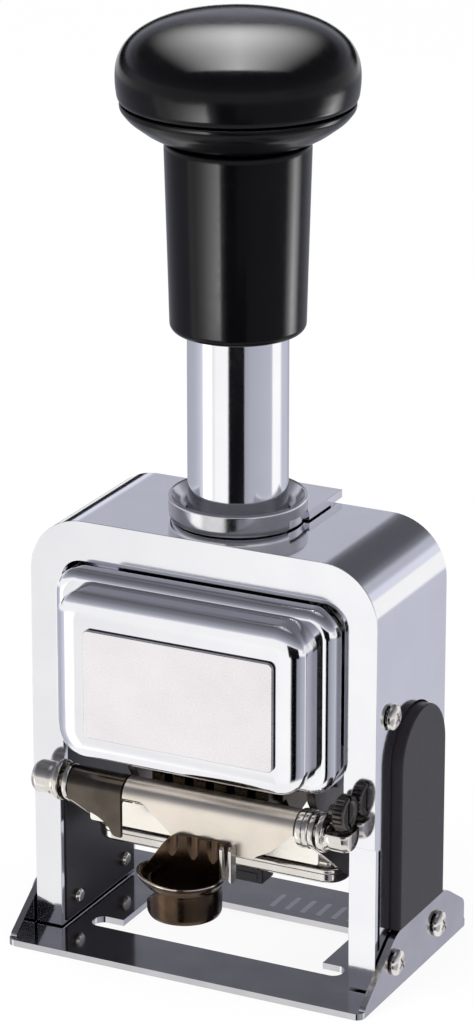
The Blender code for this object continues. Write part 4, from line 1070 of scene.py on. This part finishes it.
def makeTray():
    low, high = span("pad_tray")
    foot, top = holder["floor"] + holder["sheet"] + 0.1, holder["panTop"] + 0.7
    rim = slab(roundBox(low.x + 0.5, high.x - 0.5, low.y + 0.2, high.y - 0.6, 1.6), "XY", foot, top,
               0.3, 2, 0.2)
    well = slab(roundBox(low.x + 1.0, high.x - 1.0, low.y + 0.8, high.y - 1.0, 1.2), "XY", foot + 0.5,
                top + 4)
    newPiece("padTray", carved(rim, well), "pad", nickelLook, "nickel", "pad_tray")


felt = {"edge": 0.9, "crown": 0.35, "pitch": 0.7, "squeeze": 0.012}


def makeFelt():
    # a dense felt block, crowned a little and drawn in at half its height
    low, high = span("ink_pad")
    low.z = holder["floor"] + holder["sheet"] + 0.7
    shape = slab(roundBox(low.x + 0.1, high.x - 0.1, low.y + 0.1, high.y - 0.1, 1.2), "XY", low.z, high.z,
                 0.4, 3, felt["edge"])
    bmesh.ops.triangulate(shape, faces=[face for face in shape.faces if len(face.verts) > 4])
    made = tempObject(shape)
    step = made.modifiers.new("even", "REMESH")
    step.mode, step.voxel_size = "VOXEL", felt["pitch"]
    shape = settled(made)
    middle = (low + high) / 2
    half = (high - low) / 2
    top = high.z
    for vert in shape.verts:
        across, along = (vert.co.x - middle.x) / half.x, (vert.co.y - middle.y) / half.y
        if vert.co.z > middle.z:
            crown = felt["crown"] * max(abs(across) ** 6, abs(along) ** 3)
            vert.co.z -= crown * (vert.co.z - middle.z) / (top - middle.z)
        rise = min(1, max(0, (vert.co.z - low.z) / (top - low.z)))
        vert.co.y = middle.y + (vert.co.y - middle.y) * (1 - felt["squeeze"] * sin(pi * rise))
    bmesh.ops.smooth_vert(shape, verts=shape.verts, factor=0.5, use_axis_x=True, use_axis_y=True,
                          use_axis_z=True)
    piece = newPiece("inkFelt", shape, "pad", feltCream, "felt", "ink_pad", sharp=80)


tab = {
    "middle": (1.3, -23.5), "rimZ": 21.5, "radius": 7.2, "wallY": (-21.8, -20.9), "wallTop": 27.9,
    "leftReach": 1.24,      # the rim runs out to a point on the left
    "wall": [(-7.2, 21.0, 0.4), (-4.8, 19.5, 0.8), (-1.5, 18.4, 1.5), (4.1, 18.4, 1.5), (7.2, 19.5, 0.8),
             (8.1, 20.8, 0.5), (8.9, 27.9, 0.5), (-1.5, 27.9, 0.7), (-3.4, 26.4, 1.0)],
    "flutes": (-2.1, 2.1, 6.0), "fluteRadius": 1.9, "fluteDeep": 0.55,
    "slope": [(-9, 20.75), (-9, 15.6), (-5.6, 16.0), (0.4, 20.75)],
    "webs": (7.8, 9.5), "webWide": 0.6,
}


def makeTab():
    x, y = tab["middle"]
    z, wide = tab["rimZ"], tab["radius"]
    near, far = tab["wallY"]
    dish = lathe([(0, z - 2.75), (3.3, z - 2.6, 1.2), (5.7, z - 1.5, 1.2), (wide - 0.45, z - 0.05, 0.12),
                  (wide - 0.05, z, 0.2), (wide, z - 0.5, 0.2), (6.2, z - 2.1, 1.4), (3.5, z - 3.15, 1.2),
                  (0, z - 3.2)], 96)
    skirt = lathe([(wide - 0.75, z - 0.6), (wide - 0.5, z - 3, 1), (wide - 0.6, z - 6.5, 0.8),
                   (wide - 1.05, z - 7.2, 0.3), (wide - 1.35, z - 6.9, 0.2), (wide - 1.25, z - 0.6)], 96,
                  closed=True)
    bead = ring(wide - 0.34, wide + 0.04, z - 0.05, z + 0.14)
    for shape in (dish, bead):
        for vert in shape.verts:
            if vert.co.x < 0:
                vert.co.x *= 1 + (tab["leftReach"] - 1) * (-vert.co.x / wide) ** 2
    for shape in (dish, skirt, bead):
        bmesh.ops.translate(shape, vec=(x, y, 0), verts=shape.verts)
    behind = [block((x - 12, (near + far) / 2, z - 12), (x + 12, y + 14, z + 12)) for shape in range(3)]
    newPiece("tabRim", carved(bead, behind[2]), "pad", nickelLook, "warm_nickel", sharp=40)
    dish = carved(dish, behind[0])
    skirt = carved(skirt, behind[1], slab(tab["slope"], "XZ", y - 12, near - 0.2))
    wall = slab(tab["wall"], "XZ", near, far, 0.12, 2)
    grooves = []
    for across in tab["flutes"]:
        groove = lathe([(0, z + 0.2), (0.9, z + 0.4, 0.5), (tab["fluteRadius"], z + 4.2, 2.5),
                        (tab["fluteRadius"], 30), (0, 30)], 64)
        bmesh.ops.translate(groove, vec=(across, near - tab["fluteRadius"] + tab["fluteDeep"], 0),
                            verts=groove.verts)
        grooves.append(groove)
    wall = carved(wall, *grooves)
    body = carved(dish, skirt, wall, operation="UNION")
    newPiece("fingerTab", softened(body, 0.10, 2, 50), "pad", warmLook, "warm_nickel", "finger_tab",
             sharp=45)
    top = tab["wallTop"] - 0.3
    webLine = [(near - 1.2, z - 0.5, 0.5), (far - 0.1, z - 0.5, 0.1), (far - 0.1, top, 0.1),
               (near - 1.2, top, 0.6)]
    webs = [slab(webLine, "YZ", left, left + tab["webWide"], 0.12, 2) for left in tab["webs"]]
    left, right = tab["webs"]
    cross = block((left + 0.3, far - 0.65, z - 0.2), (right + 0.3, far - 0.12, z + 5.8), 0.1)
    newPiece("tabWebs", together(*webs, cross), "pad", nickelLook, "warm_nickel")


makeHinge()
makeHolder()
makeFelt()
makeTab()
print("pad ready")


wheel = {
    "faces": 10, "faceRadius": 10.12, "figureSize": 4.3, "figureWide": 2.3, "relief": 0.62, "bore": 2.35,
    "ratchet": 1.1, "root": 6.5, "tip": 7.6,      # the ratchet's width and the two radii of its teeth
}


def figureShape(digit):
    # one mirrored figure, centred, its face up
    curve = bpy.data.curves.new("figure", "FONT")
    curve.body = str(digit)
    curve.size = wheel["figureSize"]
    curve.align_x, curve.align_y = "CENTER", "CENTER"
    curve.resolution_u = 3
    curve.extrude = wheel["relief"] / 2
    curve.bevel_depth = 0.05
    shape = settled(addObject("figure", curve))
    bmesh.ops.remove_doubles(shape, verts=shape.verts, dist=0.0005)
    xs, ys = [v.co.x for v in shape.verts], [v.co.y for v in shape.verts]
    middle = (-(min(xs) + max(xs)) / 2, -(min(ys) + max(ys)) / 2, wheel["relief"] / 2 - 0.05)
    bmesh.ops.translate(shape, vec=middle, verts=shape.verts)
    narrow = min(1.0, wheel["figureWide"] / (max(xs) - min(xs)))
    bmesh.ops.scale(shape, vec=(-narrow, 1, 1), verts=shape.verts)
    bmesh.ops.recalc_face_normals(shape, faces=shape.faces)
    return meshFrom("figure%d" % digit, shape)


def makeWheels():
    faces = range(wheel["faces"])
    figures = [figureShape(digit) for digit in faces]
    step = tau / wheel["faces"]
    for number in range(1, 7):
        node = "number_wheel_%d" % number
        low, high = span(node)
        axisZ = (low.z + high.z) / 2
        left, right = low.x, high.x
        typeRight = right - wheel["ratchet"]
        reach = wheel["faceRadius"] / cos(step / 2)
        rim = [(reach * cos(step * (i + 0.5)), reach * sin(step * (i + 0.5)), 0.5) for i in faces]
        body = slab(rim, "YZ", left, typeRight, 0.25, 2)
        teeth = []
        for i in faces:
            for share, radius in ((0, wheel["root"]), (0.85, wheel["tip"])):
                turn = step * (i + share)
                teeth.append((radius * cos(turn), radius * sin(turn)))
        ratchet = slab(teeth, "YZ", typeRight - 0.3, right, 0.12, 2)
        shape = together(*[carved(part, laidAlong(plainRod(wheel["bore"], 0, 12), 1, (left - 3, 0, 0)))
                           for part in (body, ratchet)])
        for i, mesh in enumerate(figures):
            figure = bmesh.new()
            figure.from_mesh(mesh)
            tilt = Matrix.Rotation(step * i - pi / 2, 4, "X")
            lift = Matrix.Translation(((left + typeRight) / 2, 0, 0)) @ tilt
            bmesh.ops.transform(figure, matrix=lift @ Matrix.Translation((0, 0, wheel["faceRadius"])),
                                verts=figure.verts)
            shape = together(shape, figure)
        bmesh.ops.translate(shape, vec=(0, 0, axisZ), verts=shape.verts)
        # the wheels take the dark brass copy, painted shade for the gap between the cover and the apron
        newPiece("figureWheel_%d" % number, shape, "wheel_%d" % number, shadedBrass, "nickel", node,
                 sharp=30, facesOut=False)
    for mesh in figures:
        bpy.data.meshes.remove(mesh)


def makeCarriage():
    # these keep the solids' own shapes, with their edges broken by the last number
    refined("spring_bridge", "base", darkSteel, "steel", 0.3)
    refined("spring_post", "base", steelLook, "steel", 0.2)
    refined("carriage_yoke", "plunger", darkSteel, "steel", 0.25)
    refined("wheel_shaft", "plunger", darkSteel, "steel", 0.3)
    refined("guide_shoe_left", "plunger", plasticBlack, "black_plastic", 0.4, 3)
    refined("guide_shoe_right", "plunger", plasticBlack, "black_plastic", 0.4, 3)
    refined("carriage_rear_plate", "plunger", steelLook, "steel", 0.25)
    refined("repeat_selector", "selector", brassLook, "brass", 0.15)
    refined("detent_comb", "plunger", steelLook, "steel", 0.1)
    refined("feed_rocker", "feed", steelLook, "steel", 0.15)
    refined("feed_pawl", "feed", brassLook, "brass", 0.1)


coil = {"wire": 0.6, "turns": 16, "perTurn": 40, "endPitch": 1.9}


def makeSpring():
    low, high = span("main_spring")
    wire = coil["wire"]
    bottom, top = low.z + wire, high.z - wire
    curve = bpy.data.curves.new("springLine", "CURVE")
    curve.dimensions = "3D"
    curve.bevel_depth = wire
    curve.bevel_resolution = 3
    curve.use_fill_caps = True
    spline = curve.splines.new("POLY")
    count = coil["turns"] * coil["perTurn"]
    spline.points.add(count)
    radius = high.x - wire
    for i, point in enumerate(spline.points):
        turn = i / coil["perTurn"]
        rise = min(max(turn - 1, 0), coil["turns"] - 2)
        z = bottom + coil["endPitch"] * min(turn, 1)
        z += (top - bottom - 2 * coil["endPitch"]) * rise / (coil["turns"] - 2)
        z += coil["endPitch"] * max(turn - coil["turns"] + 1, 0)
        point.co = (radius * cos(tau * turn), radius * sin(tau * turn), z, 1)
    shape = settled(addObject("springLine", curve))
    bmesh.ops.remove_doubles(shape, verts=shape.verts, dist=0.001)
    piece = newPiece("mainSpring", shape, "base", steelLook, "steel", "main_spring", sharp=60)
    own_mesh(piece)


makeCarriage()
makeWheels()
makeSpring()
print("carriage ready")
